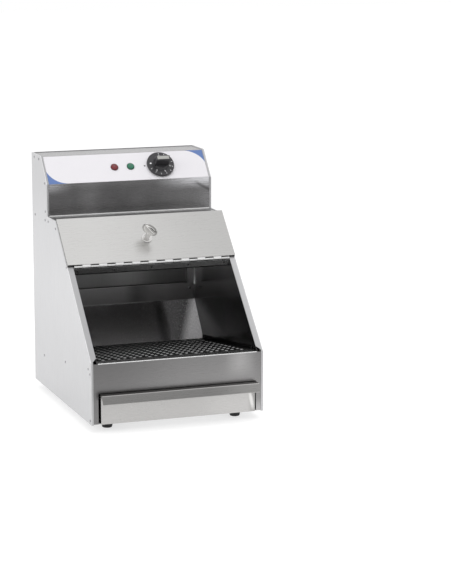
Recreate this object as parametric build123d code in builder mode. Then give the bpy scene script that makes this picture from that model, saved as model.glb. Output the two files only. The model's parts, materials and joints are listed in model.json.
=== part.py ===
"""Counter-top chip warmer: a double-skinned stainless cabinet with a lockable loading flap,
a lift-out perforated chip tray, a crumb drawer and a thermostat-controlled heater.

Frame: millimetres, +Z up, -Y is the front, the origin is on the floor under the middle of the
whole product. Heights are counted from the underside of the cabinet, depths from its front.
"""
import os
from math import atan2, cos, hypot, radians, sin, tan

from build123d import *

os.makedirs("parts", exist_ok=True)

# ------------------------------------------------------------------ driving dimensions
WIDTH = 325.0  # over both side panels
SHEET = 1.0  # stainless sheet of the cabinet
UNDERSIDE_Z = 15.0  # clearance that the feet give under the cabinet
APRON_H = 111.5  # underside to the start of the slope
SLOPE_DEG = 45.0  # slope of the open front
SLOPE_RUN = 222.0  # depth that the slope covers
SHELF_DEPTH = 59.0  # level shelf between the slope and the hood
FRONT_PANEL_H = 60.0  # upright front of the hood
FASCIA_RUN = 42.0  # depth and rise of the sloping fascia
FASCIA_RISE = 48.2
TOP_DEPTH = 64.5  # level top behind the fascia

HEM = 3.3  # edge of the side panels folded over the sheets between them
DECK_LIP = 18.0  # front edge of the deck turned down, the strike of the lock's cam
SLOPE_FLANGE = 11.7  # wide flange of the side panels along the slope
REAR_FLANGE = 12.0  # flange of the side panels behind the back panel
SIDE_TAB = 15.0  # side flanges of the hood, deck and apron
FIT = 0.1  # gap where a sheet is slipped between two others
LOOSE = 0.3  # gap between pieces that pass each other

# drawer
CUTOUT_POST = 13.5  # width of the apron beside the drawer opening
CUTOUT_H = 57.0
DRAWER_SHIFT = 1.4  # the drawer sits a little to the right in its runners
DRAWER_FRONT_GAP = 3.2  # half widths: opening to drawer front, and front to pan
DRAWER_PAN_GAP = 1.0
DRAWER_DEPTH = 282.0
DRAWER_WALL_H = 40.0
DRAWER_FLOOR = 6.0  # drawer floor above the cabinet's underside
LIP_TOP = 56.0  # top of the grip lip
LIP_DEPTH = 16.0
LIP_DROP = 15.5
LIP_LEAN = 6.0  # the lip's face leans out by this much at its bottom
LIP_GAP = 1.0  # the lip ends this far inside the opening
RUNNER_H = 28.0
RUNNER_LEDGE = 11.0
RUNNER_BESIDE = 0.6  # the runner's upright starts this far beside the opening
RUNNER_TAIL = 6.0  # the runners reach this far behind the drawer
STOP_X = 60.0  # two upturned tabs stop the drawer at the back
STOP_W = 24.0
STOP_H = 18.0

# chip tray
TRAY_REAR_DEPTH = 295.0  # depth and height of the floor's rear edge
TRAY_REAR_H = 76.0
APRON_RETURN = 16.0
TRAY_NOSE = 0.5  # the tray's lip overhangs the apron by this much
TRAY_SIDE = 1.0  # gap beside the tray
TRAY_EDGE_H = 6.0
TRAY_EDGE_START = 8.0
HOLE_SIDE = 7.0  # square perforations
HOLE_PITCH = 22.0  # square pitch, with one more hole in the middle of each square
HOLE_BORDER = 13.0
SUPPORT_LEDGE = 10.3
SUPPORT_LEG = 20.0
SUPPORT_BACK = 4.0  # the supports start this far behind the apron's fold

# heater bay at the back of the well
HEATER_BAY = 41.8  # depth of the bay behind the heater cover's face
COVER_BOTTOM = 144.5
WINDOW_BOTTOM = 178.0
WINDOW_DROP = 33.5  # window's upper edge below the deck
WINDOW_SIDE = 15.1  # cover beside the window
WINDOW_SET_BACK = 8.0
PANEL_BORDER = 6.0  # the heater panel laps behind the window's edge
COVER_FOLD = 7.0  # top edge of the cover turned back under the deck
CHUTE_FOOT = 14.0
CHUTE_FLANGE = 30.0  # upright edge of the chute behind the cover
COVER_RIVET_INSET = 11.0
COVER_RIVET_H = 167.6
ELEMENT_R = 3.2
ELEMENT_INSET = 39.7  # heating element's legs inside the window's sides
ELEMENT_TURN = 24.0
ELEMENT_MARGIN = 20.0  # the loops stay inside the window by this much
ELEMENT_TAIL = 12.0  # cold ends above the deck
ELEMENT_GAP = 1.0  # between the panel and the element
CLIP_H = 14.0
BULB_R = 3.0
BULB_LEN = 70.0
BULB_X = 64.0
BULB_LOW = 212.0
CAPILLARY_R = 1.0
CAPILLARY_TURN = 8.0

# flap and piano hinge, measured up the slope (s) and out of it (n)
FLAP_LEN = 104.0
FLAP_OVER = 1.0  # the flap reaches this far past the end of the slope
FLAP_PROUD = 5.0
FLAP_GAP = 0.7  # the flap is this much narrower than the cabinet on each side
FLAP_RIDE = 0.4  # gap under the flap's folded edges
PIN_BEFORE = 3.5  # the pin lies this far in front of the flap's edge
PIN_N = 2.0
PIN_R = 1.0
PIN_CLEAR = 0.05
KNUCKLE_R = 2.0
KNUCKLES = 19
HINGE_INSET = 0.8  # between each end of the hinge and the inner wall
KNUCKLE_SIDES = 10
KNUCKLE_GAP = 0.3
LEAF = 1.0
LEAF_CLEAR = 1.3  # the leaves stop this far from the other leaf's knuckles
FIXED_LEAF_DROP = 20.0
RAIL_SET_BACK = 0.5  # the rail lies this far below the slope's surface
LEAF_UNDER = 15.0  # the moving leaf reaches this far under the flap
RAIL_DEPTH = 22.5
RAIL_WIDTH = 15.0
LEAF_RIVETS = 5
LEAF_RIVET_END = 8.0  # the outer rivets from the leaf's ends

# cam lock
LOCK_UP = 49.0  # lock above the flap's lower edge
LOCK_FACE_R = 10.2
LOCK_FACE_T = 3.0
LOCK_BODY_R = 8.0
LOCK_BODY_LEN = 18.0
LOCK_SIDES = 16
LOCK_FACE_SIDES = 32
PLUG_R = 6.2
PLUG_CLEAR = 0.05
PLUG_SINK = 0.4  # the plug's face lies below the lock's face
PLUG_TAIL = 2.0  # the plug reaches this far beyond the barrel
STUB_W = 6.0
LOCK_NUT_R = 11.0
LOCK_NUT_T = 3.0
CAM_LEN = 45.0
CAM_HALF = 7.0
CAM_T = 2.0
CAM_REST_DEG = 140.0  # the cam clear of the deck's lip, so the flap is unlocked
CAM_CORNER = 3.0
CAM_BOLT_R = 6.2
CAM_BOLT_T = 2.4
KEY_T = 2.2
KEY_BLADE_W = 8.0
KEY_BLADE_LEN = 21.0
KEY_BOW_W = 30.0
KEY_BOW_H = 28.0
KEY_BOW_RISE = 27.0  # middle of the bow above the flap's face
KEY_TURN_DEG = -40.0  # how the key stands at rest, measured from level
KEY_CLEAR = 0.2
KEY_NECK_W = 9.0
BOW_HOLE_R = 1.8
BOW_RIM = 2.4

# controls
FILM_T = 0.4
FILM_SIDE = 0.7  # between the film and the hems beside it
LAMP_R = 7.5
LAMP_BODY_R = 5.5
LAMP_LEN = 22.0
LAMP_BEZEL_T = 1.6
LENS_R = 6.3
LENS_T = 1.8
LENS_TAPER_DEG = 45.0
LAMP_SIDES = 16
NUT_T = 3.0
NUT_R = 8.5
RED_X = -24.1
GREEN_X = 7.7
KNOB_X = 66.7
CONTROL_UP = 31.8  # controls above the fascia's lower edge, along the fascia
MARK_X = 36.0
MARK_R = 1.6
DIAL_R = 26.6
DIAL_T = 4.2
DIAL_EDGE = 1.2  # chamfer round the dial
EDGE_TAPER_DEG = 45.0
DIAL_SIDES = 36
HUB_R = 14.5
HUB_T = 4.5
HUB_TAPER_DEG = 20.0
HUB_SIDES = 24
GRIP_LEN = 28.0
GRIP_W = 11.0
GRIP_FLARE = 1.5  # the grip widens by this much on each side towards the dial
GRIP_H = 20.0
KNOB_GAP = 1.2  # between the film and the dial
KNOB_SOCKET = 8.0  # the spindle reaches this far above the dial's back
INSERT_LEN = 23.0
INSERT_W = 7.2
INSERT_T = 1.0
SPINDLE_R = 3.0
THERMOSTAT_W = 36.0
THERMOSTAT_H = 30.0
THERMOSTAT_DEEP = 26.0
NOSE_R = 8.5
NOSE_LEN = 2.0
SPINDLE_HOLE_R = 5.0
SPINDLE_IN = 12.0  # the spindle reaches this far into the thermostat
CORNER_W = 36.0  # coloured corners of the fascia film
CORNER_H = 28.0
ARC_SAG = 0.35  # how far the corners' long side is hollowed
FILM_MARGIN = 0.6

# feet, fasteners, back
FOOT_R = 11.0
FOOT_SIDE = 40.5  # feet from the sides, the front and the back
FOOT_FRONT = 40.0
FOOT_BACK = 40.5
FOOT_SIDES = 16
FOOT_NUT_T = 2.5
SCREW_HEAD_R = 4.2
SCREW_HEAD_H = 1.2
RIVET_HEAD_R = 2.5
RIVET_HEAD_H = 0.8
RIVET_ROW = 7.0  # rivets from the folds that they hold
RIVET_DEEP = 12.5  # rivets in the wider flanges
RIVET_FAR = 19.0  # rivets from the far ends of the flanges
SUPPORT_RIVET_PITCH = 150.0
HEAD_SIDES = 8  # small heads, bores and tubes are drawn with few faces
HEAD_TAPER_DEG = 45.0
BACK_SCREW_INSET = 8.0
BACK_SCREW_END = 14.0  # the outer screws from the back panel's ends
BACK_SCREW_ROWS = 4
VENT_W = 26.0
VENT_H = 4.0
VENT_PITCH = 40.0
VENT_COUNT = 6
VENT_HEIGHTS = (60.0, 250.0, 405.0)
GLAND_REACH = 18.0
GLAND_R = 9.0
GLAND_FLANGE = 4.0
GLAND_NECK_R = 7.0
GLAND_TIP_R = 6.5
GLAND_TIP_SIDES = 16
GLAND_IN = 12.0
GLAND_BORE_R = 4.0
GLAND_X = 95.0
GLAND_DROP = 69.7  # below the cabinet's top
GLAND_NUT_R = 11.0
GLAND_NUT_T = 4.0
TERMINAL_X = 40.0
TERMINAL_BACK = 35.5  # terminal block in front of the cabinet's back
TERMINAL_W = 56.0
TERMINAL_D = 18.0
TERMINAL_H = 16.0
TERMINAL_PITCH = 20.0
TERMINAL_HOLE_W = 4.5
TERMINAL_HOLE_DEEP = 8.0

# ------------------------------------------------------------------ worked-out sizes
HALF = WIDTH / 2
SKIN_X = HALF - SHEET  # inner face of a side panel
WALL_X = HALF - SLOPE_FLANGE  # inner face of an inner wall
SHELF_H = APRON_H + SLOPE_RUN * tan(radians(SLOPE_DEG))
TOP_H = SHELF_H + FRONT_PANEL_H + FASCIA_RISE
HOOD_DEPTH = SLOPE_RUN + SHELF_DEPTH
DEPTH = HOOD_DEPTH + FASCIA_RUN + TOP_DEPTH
LIP_REACH = LIP_DEPTH + LIP_LEAN
DRAWER_BACK = 2 * SHEET + DRAWER_DEPTH
CUTOUT_HALF = HALF - CUTOUT_POST
LIP_HALF = CUTOUT_HALF - LIP_GAP
RUNNER_WEB = CUTOUT_HALF + RUNNER_BESIDE
DRAWER_FRONT_HALF = CUTOUT_HALF - DRAWER_FRONT_GAP
DRAWER_HALF = DRAWER_FRONT_HALF - DRAWER_PAN_GAP
COVER_DEPTH = DEPTH - HEATER_BAY
PANEL_DEPTH = COVER_DEPTH + WINDOW_SET_BACK
ELEMENT_DEPTH = PANEL_DEPTH + SHEET + ELEMENT_GAP + ELEMENT_R
BULB_DEPTH = PANEL_DEPTH + SHEET + ELEMENT_GAP + BULB_R
FRONT_Y = -(DEPTH + GLAND_REACH - LIP_REACH) / 2
SLOPE_LEN = SLOPE_RUN / cos(radians(SLOPE_DEG))
FLAP_END = SLOPE_LEN + FLAP_OVER
FLAP_START = FLAP_END - FLAP_LEN
PIN_S = FLAP_START - PIN_BEFORE
LOCK_S = FLAP_START + LOCK_UP
HINGE_HALF = WALL_X - HINGE_INSET
UP = (Align.CENTER, Align.CENTER, Align.MIN)
DOWN = (Align.CENTER, Align.CENTER, Align.MAX)
FASCIA_LEN = hypot(FASCIA_RUN, FASCIA_RISE)
DECK_TOP = SHELF_H - SHEET
DECK_UNDER = DECK_TOP - SHEET
WINDOW_TOP = DECK_UNDER - WINDOW_DROP
WINDOW_HALF = WALL_X - WINDOW_SIDE
ELEMENT_SPAN = WINDOW_HALF - ELEMENT_INSET
COVER_RIVET_X = WALL_X - COVER_RIVET_INSET
FILM_HALF = SKIN_X - HEM - FILM_SIDE
FOOT_X = HALF - FOOT_SIDE
GLAND_H = TOP_H - GLAND_DROP
RETURN_TOP = APRON_H - SHEET  # top of the apron's folded edge


def at(depth, height):
    """Y and Z of a point given by its depth and its height above the underside."""
    return (FRONT_Y + depth, UNDERSIDE_Z + height)


PROFILE = [
    at(0, 0),
    at(0, APRON_H),
    at(SLOPE_RUN, SHELF_H),
    at(HOOD_DEPTH, SHELF_H),
    at(HOOD_DEPTH, SHELF_H + FRONT_PANEL_H),
    at(HOOD_DEPTH + FASCIA_RUN, TOP_H),
    at(DEPTH - SHEET, TOP_H),
    at(DEPTH - SHEET, 0),
]

SLOPE = Plane(
    origin=(0, FRONT_Y, UNDERSIDE_Z + APRON_H),
    x_dir=(1, 0, 0),
    z_dir=(0, -sin(radians(SLOPE_DEG)), cos(radians(SLOPE_DEG))),
)
# the fascia sheet lies one sheet behind the hems
FASCIA = Plane(
    origin=(0, *at(HOOD_DEPTH, SHELF_H + FRONT_PANEL_H)),
    x_dir=(1, 0, 0),
    z_dir=(0, -FASCIA_RISE / FASCIA_LEN, FASCIA_RUN / FASCIA_LEN),
).offset(-SHEET)
TRAY_FRONT_DEPTH = APRON_RETURN + 2 * SHEET
TRAY_FALL = atan2(RETURN_TOP + SHEET - TRAY_REAR_H, TRAY_REAR_DEPTH - TRAY_FRONT_DEPTH)
TRAY_LEN = (TRAY_REAR_DEPTH - TRAY_FRONT_DEPTH) / cos(TRAY_FALL)
# top of the tray's floor: x to the right, y to the back and down
TRAY = Plane(
    origin=(0, *at(TRAY_FRONT_DEPTH, RETURN_TOP + SHEET)),
    x_dir=(1, 0, 0),
    z_dir=(0, sin(TRAY_FALL), cos(TRAY_FALL)),
)
LOCK = Plane(
    origin=SLOPE.from_local_coords((0, LOCK_S, FLAP_PROUD)),
    x_dir=(1, 0, 0),
    z_dir=SLOPE.z_dir,
)
BACK = Plane(origin=(0, FRONT_Y + DEPTH, UNDERSIDE_Z), x_dir=(-1, 0, 0), z_dir=(0, 1, 0))
KEY_TURN = radians(KEY_TURN_DEG)
# x runs across the key's bow, z out of the flap
KEY = Plane(
    origin=LOCK.origin,
    x_dir=LOCK.x_dir * cos(KEY_TURN) + LOCK.y_dir * sin(KEY_TURN),
    z_dir=LOCK.z_dir,
)


def below_tray(depth, drop):
    """Height of a line that runs under the tray's top face at a given drop."""
    return RETURN_TOP + SHEET - drop / cos(TRAY_FALL) - (depth - TRAY_FRONT_DEPTH) * tan(TRAY_FALL)


# rivets on the side panels, in line with the flanges of the sheets behind them
DECK_RIVETS = [
    at(SLOPE_RUN + SHEET, DECK_UNDER - RIVET_DEEP),
    *(at(depth, DECK_UNDER - RIVET_ROW) for depth in (HOOD_DEPTH - RIVET_ROW, HOOD_DEPTH + SIDE_TAB)),
    at(DEPTH - RIVET_FAR, DECK_UNDER - RIVET_ROW),
]
HOOD_RIVETS = [
    at(HOOD_DEPTH + RIVET_DEEP, SHELF_H + RIVET_ROW),
    at(HOOD_DEPTH + SIDE_TAB, SHELF_H + FRONT_PANEL_H),
    at(HOOD_DEPTH + FASCIA_RUN + RIVET_DEEP, TOP_H - RIVET_ROW),
    at(DEPTH - RIVET_FAR, TOP_H - RIVET_ROW),
]
SUPPORT_RIVETS = [
    at(TRAY_FRONT_DEPTH + shift, below_tray(TRAY_FRONT_DEPTH + shift, RIVET_DEEP))
    for shift in (0, SUPPORT_RIVET_PITCH, 2 * SUPPORT_RIVET_PITCH)
]
APRON_RIVETS = [at(SHEET + RIVET_ROW, height) for height in (RIVET_ROW, RETURN_TOP - RIVET_FAR)]
SIDE_RIVETS = DECK_RIVETS + HOOD_RIVETS + SUPPORT_RIVETS + APRON_RIVETS
FOOT_SPOTS = [
    (x, FRONT_Y + depth) for x in (-FOOT_X, FOOT_X) for depth in (FOOT_FRONT, DEPTH - FOOT_BACK)
]
BACK_SCREW_STEP = (TOP_H - 2 * BACK_SCREW_END) / (BACK_SCREW_ROWS - 1)


def write(piece, name):
    """Label a finished piece and write it as its own STEP file."""
    piece.part.label = name
    export_step(piece.part, f"parts/{name}.step")


def mirrored(piece):
    """The left-hand twin of a right-hand piece."""
    with BuildPart() as twin:
        add(piece.part)
        mirror(about=Plane.YZ, mode=Mode.REPLACE)
    return twin


def profile_face(inset=0.0):
    """The cabinet's side profile, moved inwards by a distance."""
    face = Polygon(*PROFILE, align=None, mode=Mode.PRIVATE)
    if inset:
        face = offset(face, amount=-inset, kind=Kind.INTERSECTION, mode=Mode.PRIVATE)
    return face


def strip(outer, inner):
    """The strip of the side profile between two insets."""
    return profile_face(outer) - profile_face(inner)


def region(low, high):
    """A private rectangle between two corners, each given as depth and height."""
    (y0, z0), (y1, z1) = at(*low), at(*high)
    return Pos((y0 + y1) / 2, (z0 + z1) / 2) * Rectangle(y1 - y0, z1 - z0, mode=Mode.PRIVATE)


def yz(x):
    """Sketch plane across the cabinet at x."""
    return Plane.YZ.offset(x)


def upright(depth):
    """Sketch plane facing the front at a depth, with heights counted from the underside."""
    return Plane(origin=(0, FRONT_Y + depth, UNDERSIDE_Z), x_dir=(1, 0, 0), z_dir=(0, -1, 0))


def level(height):
    """Sketch plane at a height above the underside, with depths counted from the front."""
    return Plane(origin=(0, FRONT_Y, UNDERSIDE_Z + height))


def beside(plane, across, out):
    """Y and Z of a point given in a plane that faces along the cabinet."""
    point = plane.from_local_coords((0, across, out))
    return (point.Y, point.Z)


# ------------------------------------------------------------------ side panels
with BuildPart() as right_side_panel:
    with BuildSketch(yz(SKIN_X)):
        add(profile_face())
    extrude(amount=SHEET)
    with BuildSketch(yz(SKIN_X - HEM)):
        add(strip(0, SHEET))
    extrude(amount=HEM)
    with BuildSketch(yz(SKIN_X - REAR_FLANGE)):
        add(region((DEPTH - 2 * SHEET, 0), (DEPTH - SHEET, TOP_H)))
    extrude(amount=REAR_FLANGE)
    with BuildSketch(SLOPE.offset(-SHEET)):
        Polygon(
            (SKIN_X, 0),
            (SKIN_X, SLOPE_LEN),
            (WALL_X, SLOPE_LEN),
            (WALL_X, SLOPE_FLANGE),
            align=None,
        )
    extrude(amount=SHEET)
write(right_side_panel, "right_side_panel")
write(mirrored(right_side_panel), "left_side_panel")


def heads(plane, points, radius, height):
    """Domed rivet or screw heads that stand on a plane."""
    with BuildPart() as group:
        with BuildSketch(plane):
            with Locations(*points):
                RegularPolygon(radius, HEAD_SIDES)
        extrude(amount=height, taper=HEAD_TAPER_DEG)
    return group


right_side_rivets = heads(yz(HALF), SIDE_RIVETS, RIVET_HEAD_R, RIVET_HEAD_H)
write(right_side_rivets, "right_side_rivets")
write(mirrored(right_side_rivets), "left_side_rivets")

# ------------------------------------------------------------------ tray supports and inner walls
SUPPORT_FRONT = TRAY_FRONT_DEPTH + SUPPORT_BACK
SUPPORT_START = SUPPORT_BACK / cos(TRAY_FALL)
SUPPORT_END = TRAY_LEN + CHUTE_FOOT
SUPPORT_TOP = SHEET + LOOSE  # below the top of the tray's floor
with BuildPart() as right_tray_support:
    with BuildSketch(TRAY.offset(-SUPPORT_TOP)):
        with Locations((SKIN_X, (SUPPORT_START + SUPPORT_END) / 2)):
            Rectangle(
                SKIN_X - WALL_X + SUPPORT_LEDGE,
                SUPPORT_END - SUPPORT_START,
                align=(Align.MAX, Align.CENTER),
            )
    extrude(amount=-SHEET)
    with BuildSketch(TRAY.offset(-SUPPORT_TOP)):
        with Locations((SKIN_X, (SUPPORT_START + SUPPORT_END) / 2)):
            Rectangle(SHEET, SUPPORT_END - SUPPORT_START, align=(Align.MAX, Align.CENTER))
    extrude(amount=-SUPPORT_LEG)
write(right_tray_support, "right_tray_support")
write(mirrored(right_tray_support), "left_tray_support")


WALL_REAR = DEPTH - 2 * SHEET
with BuildPart() as right_inner_wall:
    with BuildSketch(yz(WALL_X)):
        add(profile_face(SHEET))
        Polygon(
            at(0, RETURN_TOP + FIT),
            at(SUPPORT_FRONT, RETURN_TOP + FIT),
            at(SUPPORT_FRONT, below_tray(SUPPORT_FRONT, SUPPORT_TOP)),
            at(WALL_REAR, below_tray(WALL_REAR, SUPPORT_TOP)),
            at(WALL_REAR, DECK_UNDER),
            at(0, DECK_UNDER),
            align=None,
            mode=Mode.INTERSECT,
        )
    extrude(amount=SHEET)
write(right_inner_wall, "right_inner_wall")
write(mirrored(right_inner_wall), "left_inner_wall")

# ------------------------------------------------------------------ base plate
BASE_FRONT = 3 * SHEET
with BuildPart() as base_plate:
    with BuildSketch(level(SHEET)):
        with Locations((0, (WALL_REAR + BASE_FRONT) / 2)):
            Rectangle(2 * (SKIN_X - FIT), WALL_REAR - BASE_FRONT)
    extrude(amount=SHEET)
    with BuildSketch(level(2 * SHEET)):
        with Locations(*[(x, DRAWER_BACK + LOOSE + SHEET / 2) for x in (-STOP_X, STOP_X)]):
            Rectangle(STOP_W, SHEET)
    extrude(amount=STOP_H)
write(base_plate, "base_plate")

# ------------------------------------------------------------------ front apron
with BuildPart() as front_apron:
    with BuildSketch(Plane.XZ.offset(-FRONT_Y - SHEET)):
        with BuildLine():
            Polyline(
                (-SKIN_X + FIT, UNDERSIDE_Z + SHEET),
                (-CUTOUT_HALF, UNDERSIDE_Z + SHEET),
                (-CUTOUT_HALF, UNDERSIDE_Z + CUTOUT_H),
                (CUTOUT_HALF, UNDERSIDE_Z + CUTOUT_H),
                (CUTOUT_HALF, UNDERSIDE_Z + SHEET),
                (SKIN_X - FIT, UNDERSIDE_Z + SHEET),
                (SKIN_X - FIT, UNDERSIDE_Z + RETURN_TOP),
                (-SKIN_X + FIT, UNDERSIDE_Z + RETURN_TOP),
                close=True,
            )
        make_face()
    extrude(amount=-SHEET)
    with BuildSketch(yz(-SKIN_X + FIT)):
        add(region((SHEET, RETURN_TOP - SHEET), (SHEET + APRON_RETURN, RETURN_TOP)))
    extrude(amount=2 * (SKIN_X - FIT))
    for side in (-1, 1):
        with BuildSketch(yz(side * (SKIN_X - FIT - SHEET / 2) - SHEET / 2)):
            add(region((SHEET, 2 * SHEET), (SHEET + SIDE_TAB, RETURN_TOP)))
        extrude(amount=SHEET)
write(front_apron, "front_apron")

# ------------------------------------------------------------------ deck: shelf and compartment floor
LIP_BOTTOM = SHELF_H - DECK_LIP
with BuildPart() as compartment_deck:
    with BuildSketch(yz(-SKIN_X + FIT)):
        add(region((SLOPE_RUN + SHEET, DECK_UNDER), (WALL_REAR, DECK_TOP)))
    extrude(amount=2 * (SKIN_X - FIT))
    with BuildSketch(yz(-WALL_X)):
        add(region((SLOPE_RUN + SHEET, LIP_BOTTOM), (SLOPE_RUN + 2 * SHEET, DECK_UNDER)))
    extrude(amount=2 * WALL_X)
    for side in (-1, 1):
        with BuildSketch(yz(side * (SKIN_X - FIT - SHEET / 2) - SHEET / 2)):
            add(region((SLOPE_RUN + SHEET, LIP_BOTTOM), (WALL_REAR, DECK_UNDER)))
        extrude(amount=SHEET)
    with BuildSketch(level(DECK_UNDER)):
        with Locations((-ELEMENT_SPAN, ELEMENT_DEPTH), (ELEMENT_SPAN, ELEMENT_DEPTH)):
            RegularPolygon(ELEMENT_R + 2 * LOOSE, HEAD_SIDES)
        with Locations((BULB_X, BULB_DEPTH)):
            RegularPolygon(CAPILLARY_R + 2 * LOOSE, HEAD_SIDES)
    extrude(amount=SHEET, mode=Mode.SUBTRACT)
write(compartment_deck, "compartment_deck")

# ------------------------------------------------------------------ control hood
with BuildPart() as control_hood:
    with BuildSketch(yz(-SKIN_X + FIT)):
        add(strip(SHEET, 2 * SHEET))
        add(region((HOOD_DEPTH, DECK_TOP), (WALL_REAR - SHEET, TOP_H)), mode=Mode.INTERSECT)
        add(region((WALL_REAR - SHEET, TOP_H - SIDE_TAB), (WALL_REAR, TOP_H - SHEET)))
    extrude(amount=2 * (SKIN_X - FIT))
    for side in (-1, 1):
        with BuildSketch(yz(side * (SKIN_X - FIT - SHEET / 2) - SHEET / 2)):
            add(strip(SHEET, SHEET + SIDE_TAB))
            add(region((HOOD_DEPTH, DECK_TOP), (WALL_REAR, TOP_H)), mode=Mode.INTERSECT)
        extrude(amount=SHEET)
    with BuildSketch(FASCIA.offset(-SHEET)):
        with Locations((RED_X, CONTROL_UP), (GREEN_X, CONTROL_UP)):
            RegularPolygon(LAMP_BODY_R + FIT, HEAD_SIDES)
        with Locations((KNOB_X, CONTROL_UP)):
            RegularPolygon(SPINDLE_HOLE_R, HEAD_SIDES)
    extrude(amount=SHEET, mode=Mode.SUBTRACT)
write(control_hood, "control_hood")

# ------------------------------------------------------------------ back panel
with BuildPart() as back_panel:
    with BuildSketch(BACK.offset(-SHEET)):
        with Locations((0, TOP_H / 2)):
            Rectangle(WIDTH, TOP_H)
        for height in VENT_HEIGHTS:
            with Locations((0, height)):
                with GridLocations(VENT_PITCH, 1, VENT_COUNT, 1):
                    Rectangle(VENT_W, VENT_H, mode=Mode.SUBTRACT)
        with Locations((-GLAND_X, GLAND_H)):
            RegularPolygon(GLAND_NECK_R, HEAD_SIDES, mode=Mode.SUBTRACT)
    extrude(amount=SHEET)
write(back_panel, "back_panel")

BACK_SCREWS = [
    (side * (HALF - BACK_SCREW_INSET), BACK_SCREW_END + row * BACK_SCREW_STEP)
    for side in (-1, 1)
    for row in range(BACK_SCREW_ROWS)
]
back_screws = heads(BACK, BACK_SCREWS, SCREW_HEAD_R, SCREW_HEAD_H)
write(back_screws, "back_screws")

# ------------------------------------------------------------------ hinge rail
RAIL_S = PIN_S - KNUCKLE_R + LEAF
with BuildPart() as hinge_rail:
    with BuildSketch(yz(-WALL_X)):
        with BuildLine():
            Polyline(
                beside(SLOPE, RAIL_S, -RAIL_SET_BACK),
                beside(SLOPE, RAIL_S, -RAIL_DEPTH),
                beside(SLOPE, RAIL_S + SHEET, -RAIL_DEPTH),
                beside(SLOPE, RAIL_S + SHEET, -RAIL_SET_BACK - SHEET),
                beside(SLOPE, RAIL_S + RAIL_WIDTH, -RAIL_SET_BACK - SHEET),
                beside(SLOPE, RAIL_S + RAIL_WIDTH, -RAIL_SET_BACK),
                close=True,
            )
        make_face()
    extrude(amount=2 * WALL_X)
write(hinge_rail, "hinge_rail")

# ------------------------------------------------------------------ rear chute plate
def on_tray(along, lift):
    """Y and Z of a point beside the tray's floor: distance to the back, height above it."""
    return beside(TRAY, along, lift)


FOOT_LIFT = SHEET / 2 - SUPPORT_TOP  # the chute's foot lies on the supports
CHUTE_BACK = COVER_DEPTH + 1.5 * SHEET
CHUTE_BEND = COVER_BOTTOM - SHEET
with BuildPart() as rear_chute:
    with BuildSketch(yz(-WALL_X)):
        with BuildLine():
            Polyline(
                on_tray(SUPPORT_END, FOOT_LIFT),
                on_tray(TRAY_LEN + LOOSE + SHEET, FOOT_LIFT),
                at(CHUTE_BACK, CHUTE_BEND),
                at(CHUTE_BACK, COVER_BOTTOM + CHUTE_FLANGE),
            )
            offset(amount=SHEET / 2, kind=Kind.INTERSECTION)
        make_face()
    extrude(amount=2 * WALL_X)
write(rear_chute, "rear_chute")

# ------------------------------------------------------------------ heater cover and panel
WINDOW_MIDDLE = (WINDOW_BOTTOM + WINDOW_TOP) / 2
WINDOW_H = WINDOW_TOP - WINDOW_BOTTOM
with BuildPart() as heater_cover:
    with BuildSketch(upright(COVER_DEPTH)):
        with Locations((0, (COVER_BOTTOM + DECK_UNDER) / 2)):
            Rectangle(2 * WALL_X, DECK_UNDER - COVER_BOTTOM)
        with Locations((0, WINDOW_MIDDLE)):
            Rectangle(2 * WINDOW_HALF, WINDOW_H, mode=Mode.SUBTRACT)
    extrude(amount=-SHEET)
    # the window's edge turned back to the panel
    with BuildSketch(upright(COVER_DEPTH + SHEET)):
        with Locations((0, WINDOW_MIDDLE)):
            Rectangle(2 * (WINDOW_HALF + SHEET), WINDOW_H + 2 * SHEET)
            Rectangle(2 * WINDOW_HALF, WINDOW_H, mode=Mode.SUBTRACT)
    extrude(amount=-(WINDOW_SET_BACK - SHEET))
    with BuildSketch(level(DECK_UNDER)):
        with Locations((0, COVER_DEPTH + COVER_FOLD / 2)):
            Rectangle(2 * WALL_X, COVER_FOLD)
    extrude(amount=-SHEET)
write(heater_cover, "heater_cover")

with BuildPart() as heater_panel:
    with BuildSketch(upright(PANEL_DEPTH)):
        with Locations((0, WINDOW_MIDDLE)):
            Rectangle(2 * (WINDOW_HALF + PANEL_BORDER), WINDOW_H + 2 * PANEL_BORDER)
    extrude(amount=-SHEET)
write(heater_panel, "heater_panel")

COVER_RIVETS = [(-COVER_RIVET_X, COVER_RIVET_H), (COVER_RIVET_X, COVER_RIVET_H)]
cover_rivets = heads(upright(COVER_DEPTH), COVER_RIVETS, RIVET_HEAD_R, RIVET_HEAD_H)
write(cover_rivets, "cover_rivets")

# ------------------------------------------------------------------ heating element and clips
ELEMENT_LOW = WINDOW_BOTTOM + ELEMENT_MARGIN
with BuildPart() as heating_element:
    with BuildLine(upright(ELEMENT_DEPTH)) as element_path:
        FilletPolyline(
            (-ELEMENT_SPAN, DECK_TOP + ELEMENT_TAIL),
            (-ELEMENT_SPAN, ELEMENT_LOW),
            (ELEMENT_SPAN, ELEMENT_LOW),
            (ELEMENT_SPAN, DECK_TOP + ELEMENT_TAIL),
            radius=ELEMENT_TURN,
        )
    with BuildSketch(Plane(origin=element_path.line @ 0, z_dir=element_path.line % 0)):
        RegularPolygon(ELEMENT_R, HEAD_SIDES)
    sweep()
write(heating_element, "heating_element")


def clips(spots, tube_r, gap, height):
    """U-shaped clips on the back of the heater panel, each round a tube of the given radius."""
    back = gap + 2 * tube_r + LOOSE
    with BuildPart() as group:
        with BuildSketch(level(height - CLIP_H / 2)):
            with Locations(*[(x, PANEL_DEPTH + SHEET) for x in spots]):
                Rectangle(2 * (tube_r + LOOSE + SHEET), back + SHEET, align=(Align.CENTER, Align.MIN))
                Rectangle(
                    2 * (tube_r + LOOSE), back, align=(Align.CENTER, Align.MIN), mode=Mode.SUBTRACT
                )
        extrude(amount=CLIP_H)
    return group


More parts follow.
